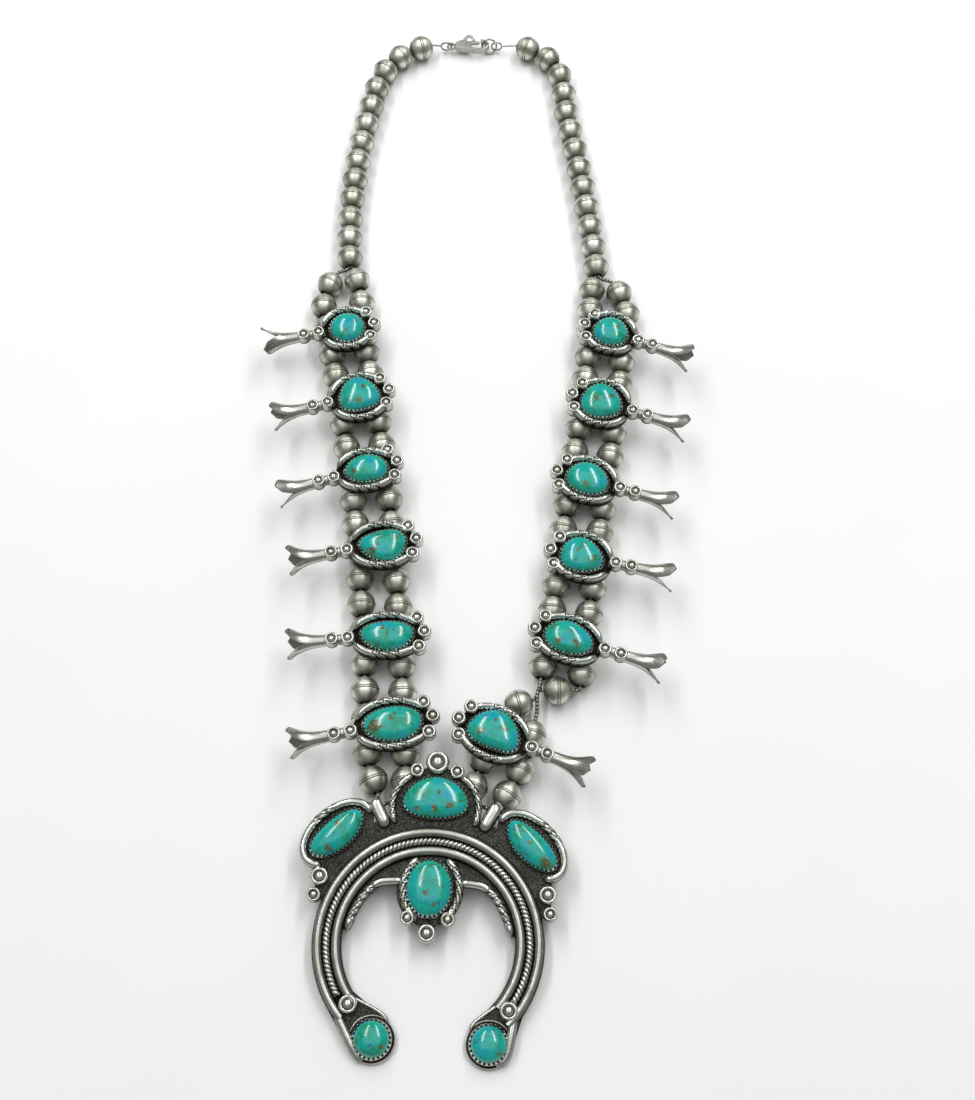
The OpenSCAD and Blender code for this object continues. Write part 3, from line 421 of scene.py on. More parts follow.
def raindrop(d, height, x, y, n=30):
    """A ball with a ring struck into it: the profile turned round its axis."""
    profile = smooth_route(DROP_PROFILE, 3)
    share, level = profile[:, :1], profile[:, 1:]
    t = whole_turn(n)
    r = share * d / 2
    rings = points_of(x + r * np.cos(t), y + r * np.sin(t), level * height)
    groove = np.exp(-((share - PUNCH_R) / PUNCH_W) ** 2) * (level > 0.5)
    dark = np.clip(0.85 * groove + smooth_step(0.3 - level, 0.0, 0.25), 0, 1)
    return skin(rings, tarnish_and_shade=dark)


print("a raindrop has", len(raindrop(4.4, 3.8, 0, 0)["points"]), "points")

# %% Wires
CUT_DEPTH, CUT_SLANT = 0.5, 0.9


def carved_wire(path, width, foot, top, cuts=(0.3, 0.7), leaf=2.9, taper=0.16, tarnish_and_shade=0.0):
    """A heavy wire along a flat path. Its section is a tall rounded hump, which sinks to a
    third at the ends. Between the two shares of the length in cuts, slanting grooves
    repeat every leaf millimetres."""
    s = distance_along(path)
    share = s / s[-1]
    normal = level_normal(np.gradient(path, axis=0))
    full = np.clip(np.minimum(share, 1 - share) / taper, 0, 1)
    full = 0.35 + 0.65 * np.sqrt(1 - (1 - full) ** 2)
    angle = np.linspace(np.pi, 0, 11)
    across = np.concatenate([[-1], np.cos(angle), [1]])
    lift = np.concatenate([[0], 0.55 + 0.45 * np.sin(angle), [0]])
    begins = smooth_step(share, cuts[0] - 0.06, cuts[0] + 0.03)
    window = begins * (1 - smooth_step(share, cuts[1] - 0.03, cuts[1] + 0.06))
    phase = ((s[:, None] - 0.5 * s[-1]) / leaf + CUT_SLANT * across[None]) % 1
    groove = np.exp(-((phase - 0.5) / 0.12) ** 2) * window[:, None] * (lift > 0.5)
    height = (top - foot) * lift[None] * full[:, None] - CUT_DEPTH * groove
    half = 0.5 * width * full[:, None] * across[None] * (1 - 0.18 * groove)
    flat = path[:, None, :] + normal[:, None, :] * half[..., None]
    dark = np.clip(groove * 1.2 + 0.5 * smooth_step(np.abs(across[None]), 0.7, 1) + tarnish_and_shade, 0, 1)
    return skin(np.concatenate([flat, (foot + height)[..., None]], -1), tarnish_and_shade=dark)


def circles(centres, radius, side, up, n):
    """A circle round each centre: centre + radius (cos t side + sin t up)."""
    t = whole_turn(n)[None, :, None]
    return centres[:, None] + radius * (np.cos(t) * side[:, None] + np.sin(t) * up[:, None])


def tube(path, radius, n=16, tarnish_and_shade=0.0):
    """A round section carried along a path in space. Its frame keeps one side level."""
    along = unit(np.gradient(path, axis=0))
    side = np.cross([0.0, 0.0, 1.0], along)
    side[np.linalg.norm(side, axis=1) < 0.05] = [1.0, 0.0, 0.0]
    side = unit(side)
    radius = np.broadcast_to(np.asarray(radius, float), (len(path), n))[..., None]
    return skin(circles(path, radius, side, np.cross(along, side), n), tarnish_and_shade=tarnish_and_shade)


print("a test wire has", len(carved_wire(outline(8, 6), 2, 0, 2)["points"]), "points")

# %% [markdown]
# ## Finishes
#
# The silver has been blackened all over and then polished, so the colour
# stays in the corners. Each piece carries a field of this darkness, 0 where the
# polishing wheel reached and 1 in the recesses. The same field also holds
# painted shade: on faces that stand steep or face the table, down a rail's
# flanks and in a bezel's notches. A shader group turns it into a colour and a
# roughness, with cloudy stains and fine scratches.

# %% Small steps for shader nodes
def new_group(name, inputs, outputs):
    """A shader group with named sockets, and its inner input and output nodes."""
    group = bpy.data.node_groups.new(name, "ShaderNodeTree")
    for label, kind, default in inputs:
        socket = group.interface.new_socket(label, in_out="INPUT", socket_type=kind)
        if default is not None:
            socket.default_value = default
    for label, kind in outputs:
        group.interface.new_socket(label, in_out="OUTPUT", socket_type=kind)
    return group, group.nodes.new("NodeGroupInput"), group.nodes.new("NodeGroupOutput")


def feed(node, values):
    """Fills a node's inputs. An output is linked, a number set, and a colour made opaque."""
    for key, value in values.items():
        if isinstance(value, bpy.types.NodeSocket):
            node.id_data.links.new(value, node.inputs[key])
        elif node.inputs[key].type == "RGBA" and len(value) == 3:
            node.inputs[key].default_value = (*value, 1.0)
        else:
            node.inputs[key].default_value = value


# These helpers put their node where their first socket comes from: its id_data
# is the tree that it belongs to.
def math(operation, a, b=None, clamp=False):
    """A Math node. a is an output socket, b another one or a number."""
    node = a.id_data.nodes.new("ShaderNodeMath")
    node.operation, node.use_clamp = operation, clamp
    feed(node, {0: a} if b is None else {0: a, 1: b})
    return node.outputs[0]


def add(a, b, clamp=False):
    """a + b, held between 0 and 1 if clamp is set."""
    return math("ADD", a, b, clamp)


def times(a, b, clamp=False):
    """a b, held between 0 and 1 if clamp is set."""
    return math("MULTIPLY", a, b, clamp)


def swing(value, amount):
    """A noise value less its middle, 0.5, times an amount."""
    return times(math("SUBTRACT", value, 0.5), amount)


def noise(vector, scale, detail=3.0, roughness=0.55, output="Fac"):
    """Soft noise, one cloud a unit of the scaled place."""
    node = vector.id_data.nodes.new("ShaderNodeTexNoise")
    feed(node, {"Vector": vector, "Scale": scale, "Detail": detail, "Roughness": roughness})
    return node.outputs[output]


def stretched(vector, scale, turn=0.0):
    """A pattern's place, turned about z and stretched along its axes."""
    node = vector.id_data.nodes.new("ShaderNodeMapping")
    feed(node, {"Vector": vector, "Rotation": (0.0, 0.0, turn), "Scale": scale})
    return node.outputs[0]


def ramp(factor, stops):
    """A colour ramp. Each stop is a place and a colour, or a place and a grey."""
    node = factor.id_data.nodes.new("ShaderNodeValToRGB")
    elements = node.color_ramp.elements
    while len(elements) < len(stops):
        elements.new(0.5)
    for element, (place, colour) in zip(elements, stops):
        element.position = place
        element.color = (*colour, 1.0) if isinstance(colour, tuple) else (colour, colour, colour, 1.0)
    feed(node, {"Fac": factor})
    return node.outputs["Color"]


def mix(factor, a, b, blend="MIX"):
    """Mixes two colours, given as sockets or plain colours, by a socket's factor."""
    node = factor.id_data.nodes.new("ShaderNodeMix")
    node.data_type, node.blend_type = "RGBA", blend
    feed(node, {0: factor, 6: a, 7: b})
    return node.outputs[2]


# %% Shader group: worn silver
CLOUD_SCALE, GRIT_SCALE = 260.0, 2600.0
STAIN_COLOUR = (0.25, 0.24, 0.16)

WORN, inside, out = new_group(
    "worn_silver",
    [("Place", "NodeSocketVector", None), ("Silver", "NodeSocketColor", (0.62, 0.61, 0.57, 1.0)),
     ("Tarnish_and_shade", "NodeSocketFloat", 0.0), ("Dark", "NodeSocketColor", (0.014, 0.013, 0.011, 1.0)),
     ("Polish", "NodeSocketFloat", 0.25), ("Stain", "NodeSocketFloat", 0.3)],
    [("Color", "NodeSocketColor"), ("Roughness", "NodeSocketFloat"), ("Relief", "NodeSocketFloat")])
place = inside.outputs["Place"]
clouds = noise(place, CLOUD_SCALE, 4.0)
grit = noise(place, GRIT_SCALE)
black = ramp(add(inside.outputs["Tarnish_and_shade"], swing(grit, 0.5)), [(0.08, 0.0), (0.85, 1.0)])
stain = times(ramp(clouds, [(0.42, 0.0), (0.7, 1.0)]), inside.outputs["Stain"])
aged = mix(stain, inside.outputs["Silver"], STAIN_COLOUR)
rough = add(inside.outputs["Polish"], swing(clouds, 0.3))
scratches = noise(stretched(place, (900.0, 9000.0, 900.0), 0.6), 1.0, 2.0)
feed(out, {"Color": mix(black, aged, inside.outputs["Dark"]),
           "Roughness": add(rough, times(black, 0.35), clamp=True),
           "Relief": add(scratches, times(grit, 0.6))})
print("group worn_silver has", len(WORN.nodes), "nodes")


# %% Material helpers
def new_material(name):
    """A material, its node tree and its shader."""
    material = bpy.data.materials.new(name)
    material.use_nodes = True
    tree = material.node_tree
    return material, tree, tree.nodes["Principled BSDF"]


def field(tree, name, kind="Fac"):
    """A field stored in the mesh, read by its name."""
    node = tree.nodes.new("ShaderNodeAttribute")
    node.attribute_name = name
    return node.outputs[kind]


def object_place(tree):
    """The place on the object, in metres."""
    return tree.nodes.new("ShaderNodeTexCoord").outputs["Object"]


def bump(height, strength, distance=0.00005):
    """Normals from a height. The distance, in metres, is the height of a value of 1."""
    node = height.id_data.nodes.new("ShaderNodeBump")
    feed(node, {"Height": height, "Strength": strength, "Distance": distance})
    return node.outputs["Normal"]


def worn_silver(name, silver, polish, stain, relief, tarnish_and_shade=None):
    """Silver for one kind of piece, with its own colour, polish and stains. The darkening is
    one number, or the mesh's field of patina and painted shade where none is given."""
    material, tree, shader = new_material(name)
    worn = tree.nodes.new("ShaderNodeGroup")
    worn.node_tree = WORN
    feed(worn, {"Place": object_place(tree), "Silver": silver, "Polish": polish, "Stain": stain,
                "Tarnish_and_shade": field(tree, "tarnish_and_shade") if tarnish_and_shade is None else tarnish_and_shade})
    feed(shader, {"Base Color": worn.outputs["Color"], "Roughness": worn.outputs["Roughness"],
                  "Metallic": 1.0, "Normal": bump(worn.outputs["Relief"], relief)})
    return material, tree, shader, worn


CLASP_SILVER = worn_silver("clasp_silver", (0.6, 0.6, 0.58), 0.25, 0.35, 0.2, tarnish_and_shade=0.3)[0]
CHAIN_SILVER = worn_silver("chain_silver", (0.4, 0.4, 0.35), 0.38, 0.5, 0.3)[0]
print("silver finishes:", CLASP_SILVER.name, CHAIN_SILVER.name)

# %% [markdown]
# The upper petals carry a small struck star, a common stamp. It is too fine
# for the mesh, so it is a stain of tarnish. The petals' field stamp holds the
# place round the star's middle, in millimetres, and its third value is 0 on
# such a petal and 1 on the others.

# %% Antiqued silver with its stamp
STAR_R, STAR_POINTS = 1.3, 8


def struck_star(tree):
    """A mask of rays and a rim: rays where |cos| of half the points times the angle is
    near 1, and a rim where the distance from the middle is near the star's radius."""
    parts = tree.nodes.new("ShaderNodeSeparateXYZ")
    feed(parts, {0: field(tree, "stamp", "Vector")})
    x, y, elsewhere = parts.outputs
    reach = math("SQRT", add(times(x, x), times(y, y)))
    angle = times(math("ARCTAN2", y, x), 0.5 * STAR_POINTS)
    spokes = math("ABSOLUTE", math("COSINE", angle))
    rays = times(math("GREATER_THAN", spokes, 0.72), math("GREATER_THAN", reach, 0.35))
    rim = math("LESS_THAN", math("ABSOLUTE", math("SUBTRACT", reach, STAR_R)), 0.1)
    within = math("LESS_THAN", add(reach, elsewhere), STAR_R + 0.1)
    return times(math("MAXIMUM", rays, rim), within)


SILVER, tree, _, worn = worn_silver("antiqued_silver", (0.60, 0.61, 0.57), 0.25, 0.5, 0.22)
stamped = times(struck_star(tree), 0.5)
feed(worn, {"Tarnish_and_shade": add(field(tree, "tarnish_and_shade"), stamped, clamp=True)})
print(SILVER.name, "has", len(tree.nodes), "nodes")

# %% [markdown]
# A handmade bead is two stamped domes soldered together. It is turned against
# a brush, so its fine lines run round its axis. The mesh stores the place in
# each bead's own frame, x along the thread, and the lines follow from it.

# %% Bead finish
BEAD_DARK = (0.08, 0.073, 0.045)
LINE_LOW, LINE_HIGH = (0.2, 0.19, 0.13), (1.0, 1.0, 0.95)

BEAD_SILVER, tree, shader, worn = worn_silver("brushed_bead_silver", (0.76, 0.77, 0.70), 0.40, 0.6, 0.3)
feed(worn, {"Dark": BEAD_DARK})
lines = stretched(field(tree, "bead_place", "Vector"), (9.0, 0.35, 0.35))
brushed = noise(lines, 1.6, 5.0, 0.7)
tinted = mix(times(field(tree, "bead_tone"), 0.6), worn.outputs["Color"],
             mix(brushed, LINE_LOW, LINE_HIGH), blend="MULTIPLY")
rough = add(worn.outputs["Roughness"], swing(brushed, 0.35), clamp=True)
relief = add(times(brushed, 2.0), worn.outputs["Relief"])
feed(shader, {"Base Color": tinted, "Roughness": rough, "Normal": bump(relief, 0.35, 0.00006),
              "Anisotropic": 0.6, "Tangent": field(tree, "thread_way", "Vector")})
print(BEAD_SILVER.name, "has", len(tree.nodes), "nodes")

# %% [markdown]
# The turquoise is sky blue to teal green in soft clouds. Thin brown and black
# veins, the matrix, run through it, and some stones have a patch of tan host
# rock. A stone's patches are listed in a table further down, and
# noise makes their borders ragged. The patterns read the place in each
# stone's own frame, in millimetres.

# %% Turquoise: its clouds
TURQUOISE, tree, shader = new_material("turquoise")
stone_place = field(tree, "stone_place", "Vector")
blue = ramp(noise(stone_place, 0.22),
            [(0.36, (0.0, 0.28, 0.17)), (0.5, (0.0, 0.39, 0.31)), (0.66, (0.0, 0.33, 0.42))])
pale = ramp(noise(stone_place, 0.55, 4.0, 0.6), [(0.5, 0.0), (0.72, 1.0)])
cloudy = mix(times(pale, 0.5), blue, (0.035, 0.50, 0.42))
print("the clouds take", len(tree.nodes), "nodes")

# %% Turquoise: its veins
# Veins follow the borders of a cell pattern whose place is bent by noise. A
# second noise leaves most of them out.
warp = tree.nodes.new("ShaderNodeVectorMath")
warp.operation = "MULTIPLY_ADD"
feed(warp, {0: noise(stone_place, 0.45, 5.0, 0.5, "Color"), 1: (3.5, 3.5, 3.5), 2: stone_place})
cells = tree.nodes.new("ShaderNodeTexVoronoi")
cells.feature = "DISTANCE_TO_EDGE"
feed(cells, {"Vector": warp.outputs[0], "Scale": 0.21})
veins = ramp(cells.outputs["Distance"], [(0.0, 1.0), (0.018, 0.8), (0.05, 0.0)])
sparse = ramp(noise(stone_place, 0.3, 2.0), [(0.5, 0.0), (0.62, 1.0)])
vein_mask = times(veins, sparse, clamp=True)
veined = mix(times(vein_mask, 0.8), cloudy, (0.05, 0.055, 0.02))
print("with veins", len(tree.nodes), "nodes")

# %% Turquoise: its host rock and polish
ragged = add(field(tree, "patch"), swing(noise(stone_place, 0.75, 6.0, 0.72), 2.6))
patch_mask = ramp(ragged, [(0.55, 0.0), (0.75, 0.9)])
host = ramp(noise(stone_place, 1.3, 5.0, 0.7),
            [(0.35, (0.03, 0.045, 0.014)), (0.55, (0.12, 0.10, 0.022)), (0.7, (0.46, 0.27, 0.10))])
# The veins and the rock lie a little lower than the polished stone.
feed(shader, {"Base Color": mix(patch_mask, veined, host), "Roughness": 0.16,
              "Coat Weight": 0.4, "Coat Roughness": 0.06,
              "Normal": bump(add(patch_mask, vein_mask), 0.12, -0.00004)})
print("turquoise has", len(tree.nodes), "nodes")

# %% [markdown]
# ## Where everything lies
#
# The tables repeat the CAD model's own round numbers, in millimetres. Each
# blossom has a place, the droop of its flower, and the middle and slope of
# the two loops under it. Each stone has its shares of length and width, egg,
# bend, lean and the turn of its petals. The key -1 is the left side of the
# necklace and 1 the right, and a side's rows run from the neck to the naja.

# %% Tables of the lay
LAY = {
    -1: [[-46.6, 76.0, 11, -47.0, 75.4, 4], [-41.7, 49.8, 14, -42.4, 49.2, 4],
         [-38.5, 23.0, 16, -37.8, 21.0, 4], [-32.6, -3.4, 10, -34.6, -7.0, -5],
         [-30.4, -33.6, 5, -32.2, -35.2, -4], [-28.0, -61.7, 11, -30.6, -63.2, -2]],
    1: [[40.8, 74.3, 20, 39.8, 73.3, 10], [37.0, 47.5, 18, 36.3, 46.2, 9],
        [31.7, 19.4, 17, 31.8, 18.6, 7], [29.3, -7.4, 13, 27.8, -9.4, 3],
        [24.6, -34.8, 18, 23.6, -37.0, 12], [2.0, -64.6, 23, 6.2, -67.4, 18]]}
STONES = {
    -1: [[0.66, 0.88, 0.04, 0, 0, 60], [0.76, 0.98, 0.02, -0.16, 0, -15], [0.78, 0.78, 0.08, -0.05, 8, 0],
         [0.84, 0.84, 0.24, 0.12, 6, -30], [0.92, 0.76, 0.06, 0.10, 4, -30], [1.0, 0.86, 0.04, 0.04, 5, -35]],
    1: [[0.66, 0.86, 0, -0.05, 0, -15], [0.76, 1.0, 0.16, -0.08, 0, 5], [0.78, 0.88, 0.06, -0.05, -5, 0],
        [0.77, 0.92, 0.22, -0.04, -8, -5], [0.86, 0.82, 0.10, -0.04, -3, 0],
        [0.92, 0.94, 0.08, -0.18, -3, 10]]}
STONE_L, STONE_W, STONE_H = 17.5, 12.5, 4.4
PLATE_T, END_MARGIN, SIDE_MARGIN, LEAF_W, LEAF_H = 1.0, 3.2, 2.4, 1.2, 2.8
BEZEL_H, DROP_D, DROP_H = 2.4, 4.4, 2.8
STEM_D, FLOWER_REACH, FLOWER_D, PETAL_T = 3.2, 22.5, 10.0, 0.8
BEAD_D, BEAD_L, BORE_D, THREAD_D = 8.7, 8.0, 2.7, 1.0
LOOP_SPACING, LOOP_T, EYE_GAP = 11.4, 1.2, 0.4
THREAD_Z, PLATE_Z = BEAD_D / 2, BEAD_D + 0.3
SIDE_NAMES = {-1: "left", 1: "right"}
# Patches of host rock: share along, share across, size in millimetres.
PATCHES = {
    -1: [[(-0.5, 0.1, 1.2)], [(0.1, -0.5, 1.5), (-0.3, 0.3, 1.0)], [(0.6, -0.2, 1.4)],
         [(0.45, -0.55, 1.9), (-0.6, 0.2, 1.3), (0.2, -0.2, 1.0)], [(0.15, 0.25, 0.9), (0.0, -0.2, 0.7)],
         [(0.62, -0.2, 3.1), (0.05, 0.1, 1.2), (-0.1, 0.4, 0.8)]],
    1: [[(0.3, 0.2, 1.2)], [(-0.3, -0.1, 1.5), (0.4, 0.3, 1.2)], [(0.0, -0.5, 1.3)],
        [(-0.2, 0.1, 1.1), (0.6, 0.0, 1.3)], [(-0.35, -0.5, 1.3), (0.35, -0.3, 1.5)],
        [(-0.45, -0.3, 1.8), (0.35, 0.25, 1.2), (-0.1, 0.5, 1.0)]]}
print("blossoms:", sum(len(rows) for rows in LAY.values()))


# %% Places worked out from the tables
def loop_xy(side, i, end):
    """The middle of a loop under a blossom. end is 1 for the outer strand, -1 for the
    inner one, half the spacing away along the row's slope."""
    x, y, slope = LAY[side][i][3:]
    outwards = np.array([side * np.cos(np.radians(slope)), -np.sin(np.radians(slope))])
    return np.array([x, y]) + outwards * end * LOOP_SPACING / 2


def blossom_home(side, i):
    """The matrix from a blossom's own frame, x towards its flower, to the table."""
    x, y, droop = LAY[side][i][:3]
    mirror = np.diag([float(side), 1.0, 1.0, 1.0])
    return HOME @ shift(x, y, PLATE_Z) @ rotation("z", -side * droop) @ mirror


print("the first loop on the left lies at", np.round(loop_xy(-1, 0, 1), 1).tolist())

# %% [markdown]
# ## Blossoms
#
# A blossom is a leaf-shaped back plate with a stone, two leaf wires, three
# raindrops at its inner end and two on its stem. The flower is a trumpet with
# three petals. Each petal is a closed shell: the angle it covers is full in
# the tube and narrows to a rounded point. A cut cone of one thickness would be
# simpler, but a real petal is hammered thinner towards its tip.

# %% Petals
# The share of the flower's radius at a share of its length.
FLOWER_PROFILE = smooth_route([[0, 0.36], [0.25, 0.4], [0.48, 0.49], [0.68, 0.65], [0.86, 0.85], [1, 1]], 10)
PARTING, PETAL_HALF, STAMP_AT = 0.48, 60.2, 0.8


def petal(length, turn, start, n=11, rows=38):
    """One petal of a trumpet along x. The radius follows the flower's profile. Past the
    parting the half angle falls to a rounded tip, the wall thins, and the edges roll
    outwards. u runs across the petal and v along it."""
    v = 1 - (1 - np.linspace(0, 1, rows)[:, None]) ** 1.6
    u = np.linspace(-1, 1, n)[None]
    radius = 0.5 * FLOWER_D * np.interp(v, FLOWER_PROFILE[:, 0], FLOWER_PROFILE[:, 1])
    free = np.clip((v - PARTING) / (1 - PARTING), 0, 1)
    tip = np.clip(1 - free**4, 0.001, 1) ** 0.6
    half = np.radians(PETAL_HALF) * (1 - 0.35 * smooth_step(free, 0, 0.7)) * tip
    wall = PETAL_T * (1 - 0.45 * u**2) * (1 - 0.35 * free)
    angle = np.radians(turn) + half * u
    roll = 0.15 * free**2 * np.abs(u) ** 3
    x = start + length * (v - 0.05 * free**2 * u**2)

    def ring(r):
        return points_of(x, r * np.sin(angle), -r * np.cos(angle))

    outer, inner = ring(radius + roll), ring(np.maximum(radius + roll - wall, 0.35))
    part = skin(np.concatenate([outer, inner[:, ::-1]], 1), tarnish_and_shade=np.repeat([0.05, 0.5], n)[None])
    # Only petals that face up are struck.
    elsewhere = float(abs(turn % 360 - 180) > 70)
    stamp = points_of((v - STAMP_AT) * length, radius * half * u, elsewhere)
    stamp = np.concatenate([stamp, np.full(stamp.shape, FAR)], 1).reshape(-1, 3)
    part["stamp"] = np.vstack([stamp, np.full((2, 3), FAR)])
    return part


print("a petal has", len(petal(12, 180, 0)["points"]), "points")


# %% Shank loops
def upright(xz, across):
    """Points from their places in the x-z plane and how far they lie across it."""
    return points_of(xz[..., 0], across, xz[..., 1])


def shank_loop():
    """A strap bent to a U under the plate: a section of eight corners carried down, round
    and up."""
    radius, drop = THREAD_D / 2 + EYE_GAP + 0.45, THREAD_Z - PLATE_Z
    t = np.linspace(np.pi, 2 * np.pi, 20)
    bend = points_of(radius * np.cos(t), drop + radius * np.sin(t))
    leg = np.linspace(0.4, drop, 5)[:-1]
    path = np.vstack([points_of(-radius, leg), bend, points_of(radius, leg[::-1])])
    normal = level_normal(np.gradient(path, axis=0))
    corner = np.array([[-0.45, -0.5], [-0.35, -0.6], [0.35, -0.6], [0.45, -0.5],
                       [0.45, 0.5], [0.35, 0.6], [-0.35, 0.6], [-0.45, 0.5]])
    return skin(upright(path[:, None] + normal[:, None] * corner[None, :, :1], corner[:, 1]), tarnish_and_shade=0.35)


print("a shank loop has", len(shank_loop()["points"]), "points")


# %% Blossoms
def plate_and_wires(a, b, egg, bend, lean):
    """The back plate, the bezel and the two leaf wires round a stone of half sizes a, b."""
    plate_a, plate_b, inset = a + END_MARGIN, b + SIDE_MARGIN, 0.5 * LEAF_W + 0.05
    parts = [slab(outline(plate_a, plate_b, lean=lean), 0.0, PLATE_T),
             toothed_bezel(outline(a, b, egg, bend, lean), PLATE_T + SEAT_GAP, STONE_H,
                           PLATE_T - 0.3, PLATE_T + BEZEL_H - 0.25)]
    for low, high in ((18, 150), (342, 210)):
        t = np.radians(np.linspace(low, high, 110))
        path = outline(plate_a - inset, plate_b - inset, lean=lean, t=t)
        parts.append(carved_wire(path, LEAF_W + 1.0, PLATE_T - 0.5, PLATE_T + LEAF_H, cuts=(0.32, 0.72)))
    return parts


def drops_and_flower(a, petal_turn):
    """Three raindrops at the inner end, two on the stem, and three petals past them."""
    first = a + END_MARGIN + 0.15 * DROP_D
    second = first + 1.12 * DROP_D
    start = second + 0.3 * DROP_D
    inner, aside = -a - 0.3 * DROP_D, 1.07 * DROP_D
    drops = [(inner, aside), (inner, -aside), (-a - 0.75 * DROP_D, 0), (first, 0), (second, 0)]
    parts = [raindrop(DROP_D, PLATE_T + DROP_H, x, y) for x, y in drops]
    stem = np.array([[x, 0, STEM_D / 2] for x in (a + 1.8, a + 3, start, start + 1)])
    parts.append(tube(stem, STEM_D / 2, 20, 0.25))
    for turn in (180, 300, 420):
        one = petal(a + FLOWER_REACH - start, petal_turn + turn, start)
        parts.append(moved(one, shift(0, 0, STEM_D / 2)))
    return parts


def blossom_parts(side, i):
    """The skins of one blossom, carried from its own frame to its place."""
    share_l, share_w, egg, bend, lean, petal_turn = STONES[side][i]
    a, b = share_l * STONE_L / 2, share_w * STONE_W / 2
    parts = plate_and_wires(a, b, egg, bend, lean) + drops_and_flower(a, petal_turn)
    parts = [moved(part, blossom_home(side, i)) for part in parts]
    square = rotation("z", -side * LAY[side][i][5])
    for end in (-1, 1):
        parts.append(moved(shank_loop(), HOME @ shift(*loop_xy(side, i, end), PLATE_Z) @ square))
    return parts


for side, word in SIDE_NAMES.items():
    for i in range(6):
        parts = blossom_parts(side, i)
        # The blossoms take painted shade at half strength on steep and downward faces.
        piece(f"{word}_blossom_{i + 1}_silver", parts, SILVER, f"{word}_blossom_{i + 1}",
              underside_shade=0.5, fields=["stamp"])
print("twelve blossoms, last one with", sum(len(part["points"]) for part in parts), "points")

# %% [markdown]
# A stone is one dome. Its two fields are the place in the stone's own frame,
# moved by a chosen amount so that no two stones match, and the strength of
# its patches of host rock, which falls off like a bell from each middle.

# %% Stones
OWN_CLOUDS = np.array([17.0, 29.0, 11.0])


def stone_piece(name, node, size, shape, height, home, patches, seed):
    """A polished dome. size is its length and width, and shape its egg, bend and lean."""
    a, b = size[0] / 2, size[1] / 2
    part = dome(outline(a, b, *shape), height)
    local = (part["points"] @ rotation("z", -shape[2])[:3, :3].T)
    patch = np.zeros(len(local))
    for along, across, reach in patches:
        away = (local[:, 0] - along * a) ** 2 + (local[:, 1] - across * b) ** 2
        patch = np.maximum(patch, np.exp(-away / reach**2))
    part["stone_place"] = local + OWN_CLOUDS * seed
    part["patch"] = patch
    piece(name, [moved(part, home)], TURQUOISE, node, fields=["stone_place", "patch"])


for side, word in SIDE_NAMES.items():
    for i, (share_l, share_w, *shape, _) in enumerate(STONES[side]):
        home = blossom_home(side, i) @ shift(0, 0, PLATE_T + SEAT_GAP)
        size = (share_l * STONE_L, share_w * STONE_W)
        stone_piece(f"{word}_turquoise_{i + 1}", f"{word}_stone_{i + 1}", size, shape, STONE_H, home,
                    PATCHES[side][i], 1 + i + 6 * (side > 0))
print("stones:", sum(len(rows) for rows in STONES.values()))

# %% [markdown]
# ## The naja
#
# The crescent is worked out in its own frame: the middle of the arch is the
# origin and y points to the top stone. It leans on the last beads, its two
# tips on the table. Most of its parts are made for the right half, and the
# left half is their mirror image, whose outer parts sit a little higher.

# %% The naja's sizes
ARCH_R, RAIL_W, RAIL_H, ROPE_D, ROPE_GAP, BASE_T = 28.7, 3.0, 2.0, 1.9, 0.15, 1.1
OUTER_RAIL_R = ARCH_R + ROPE_D / 2 + ROPE_GAP + RAIL_W / 2
INNER_RAIL_R = ARCH_R - ROPE_D / 2 - ROPE_GAP - RAIL_W / 2
BAND_EDGE = 0.2
BAND_OUTER = OUTER_RAIL_R + RAIL_W / 2 + BAND_EDGE
BAND_INNER = INNER_RAIL_R - RAIL_W / 2 - BAND_EDGE
TOP_L, TOP_W, EAR_L, EAR_W, ARCH_L, ARCH_W, TIP_D = 19.0, 12.0, 18.4, 8.6, 16.0, 13.0, 10.2
NAJA_STONE_H, NAJA_BEZEL_H, EDGE_H = 4.2, 2.2, 1.9
CROWN_D, LARGE_D, SMALL_D = 6.8, 5.4, 4.3
BAIL_L, BAIL_W, BAIL_T, BAIL_SLOPE = 10.0, 3.4, 1.2, 61.0
EAR_MARGIN, EAR_LEAN, LEFT_LIFT = 2.9, -43.0, 4.5


def lift(side):
    """How many degrees further up the arch a half's outer parts sit."""
    return LEFT_LIFT if side < 0 else 0.0


def tip_at(side):
    """The middle of the stone at an arm's end."""
    return np.array([(0.565 + side * 0.07) * ARCH_R, -0.913 * ARCH_R])


def tip_drop_at(side):
    """The raindrop above it."""
    return np.array([(0.78 + side * 0.035) * ARCH_R, -0.597 * ARCH_R])


def ear_at(side):
    """The middle of the side stone."""
    return polar(BAND_OUTER + EAR_W / 2 + EAR_MARGIN + 0.15 * lift(side), 45.5 + 0.35 * lift(side))


print("the band is", round(BAND_OUTER - BAND_INNER, 2), "mm wide")

# %% The naja's frame
TIP_R = TIP_D / 2 + WALL + 1
FOOT_Y = tip_at(1)[1] - TIP_R
TOP_AT = np.array([0.0, BAND_OUTER + TOP_W / 2 + 1.6])
ARCH_AT = np.array([-0.02 * ARCH_R, BAND_INNER - ARCH_L / 2 - 1])
CROWN_AT = np.array([0.0, TOP_AT[1] + TOP_W / 2 + 1.5 + CROWN_D / 2])
BAIL_FOOT = polar(BAND_OUTER + 1.8, 67)
BAIL_EYE = BAIL_FOOT + polar(BAIL_L - BAIL_T - 1.9, BAIL_SLOPE)
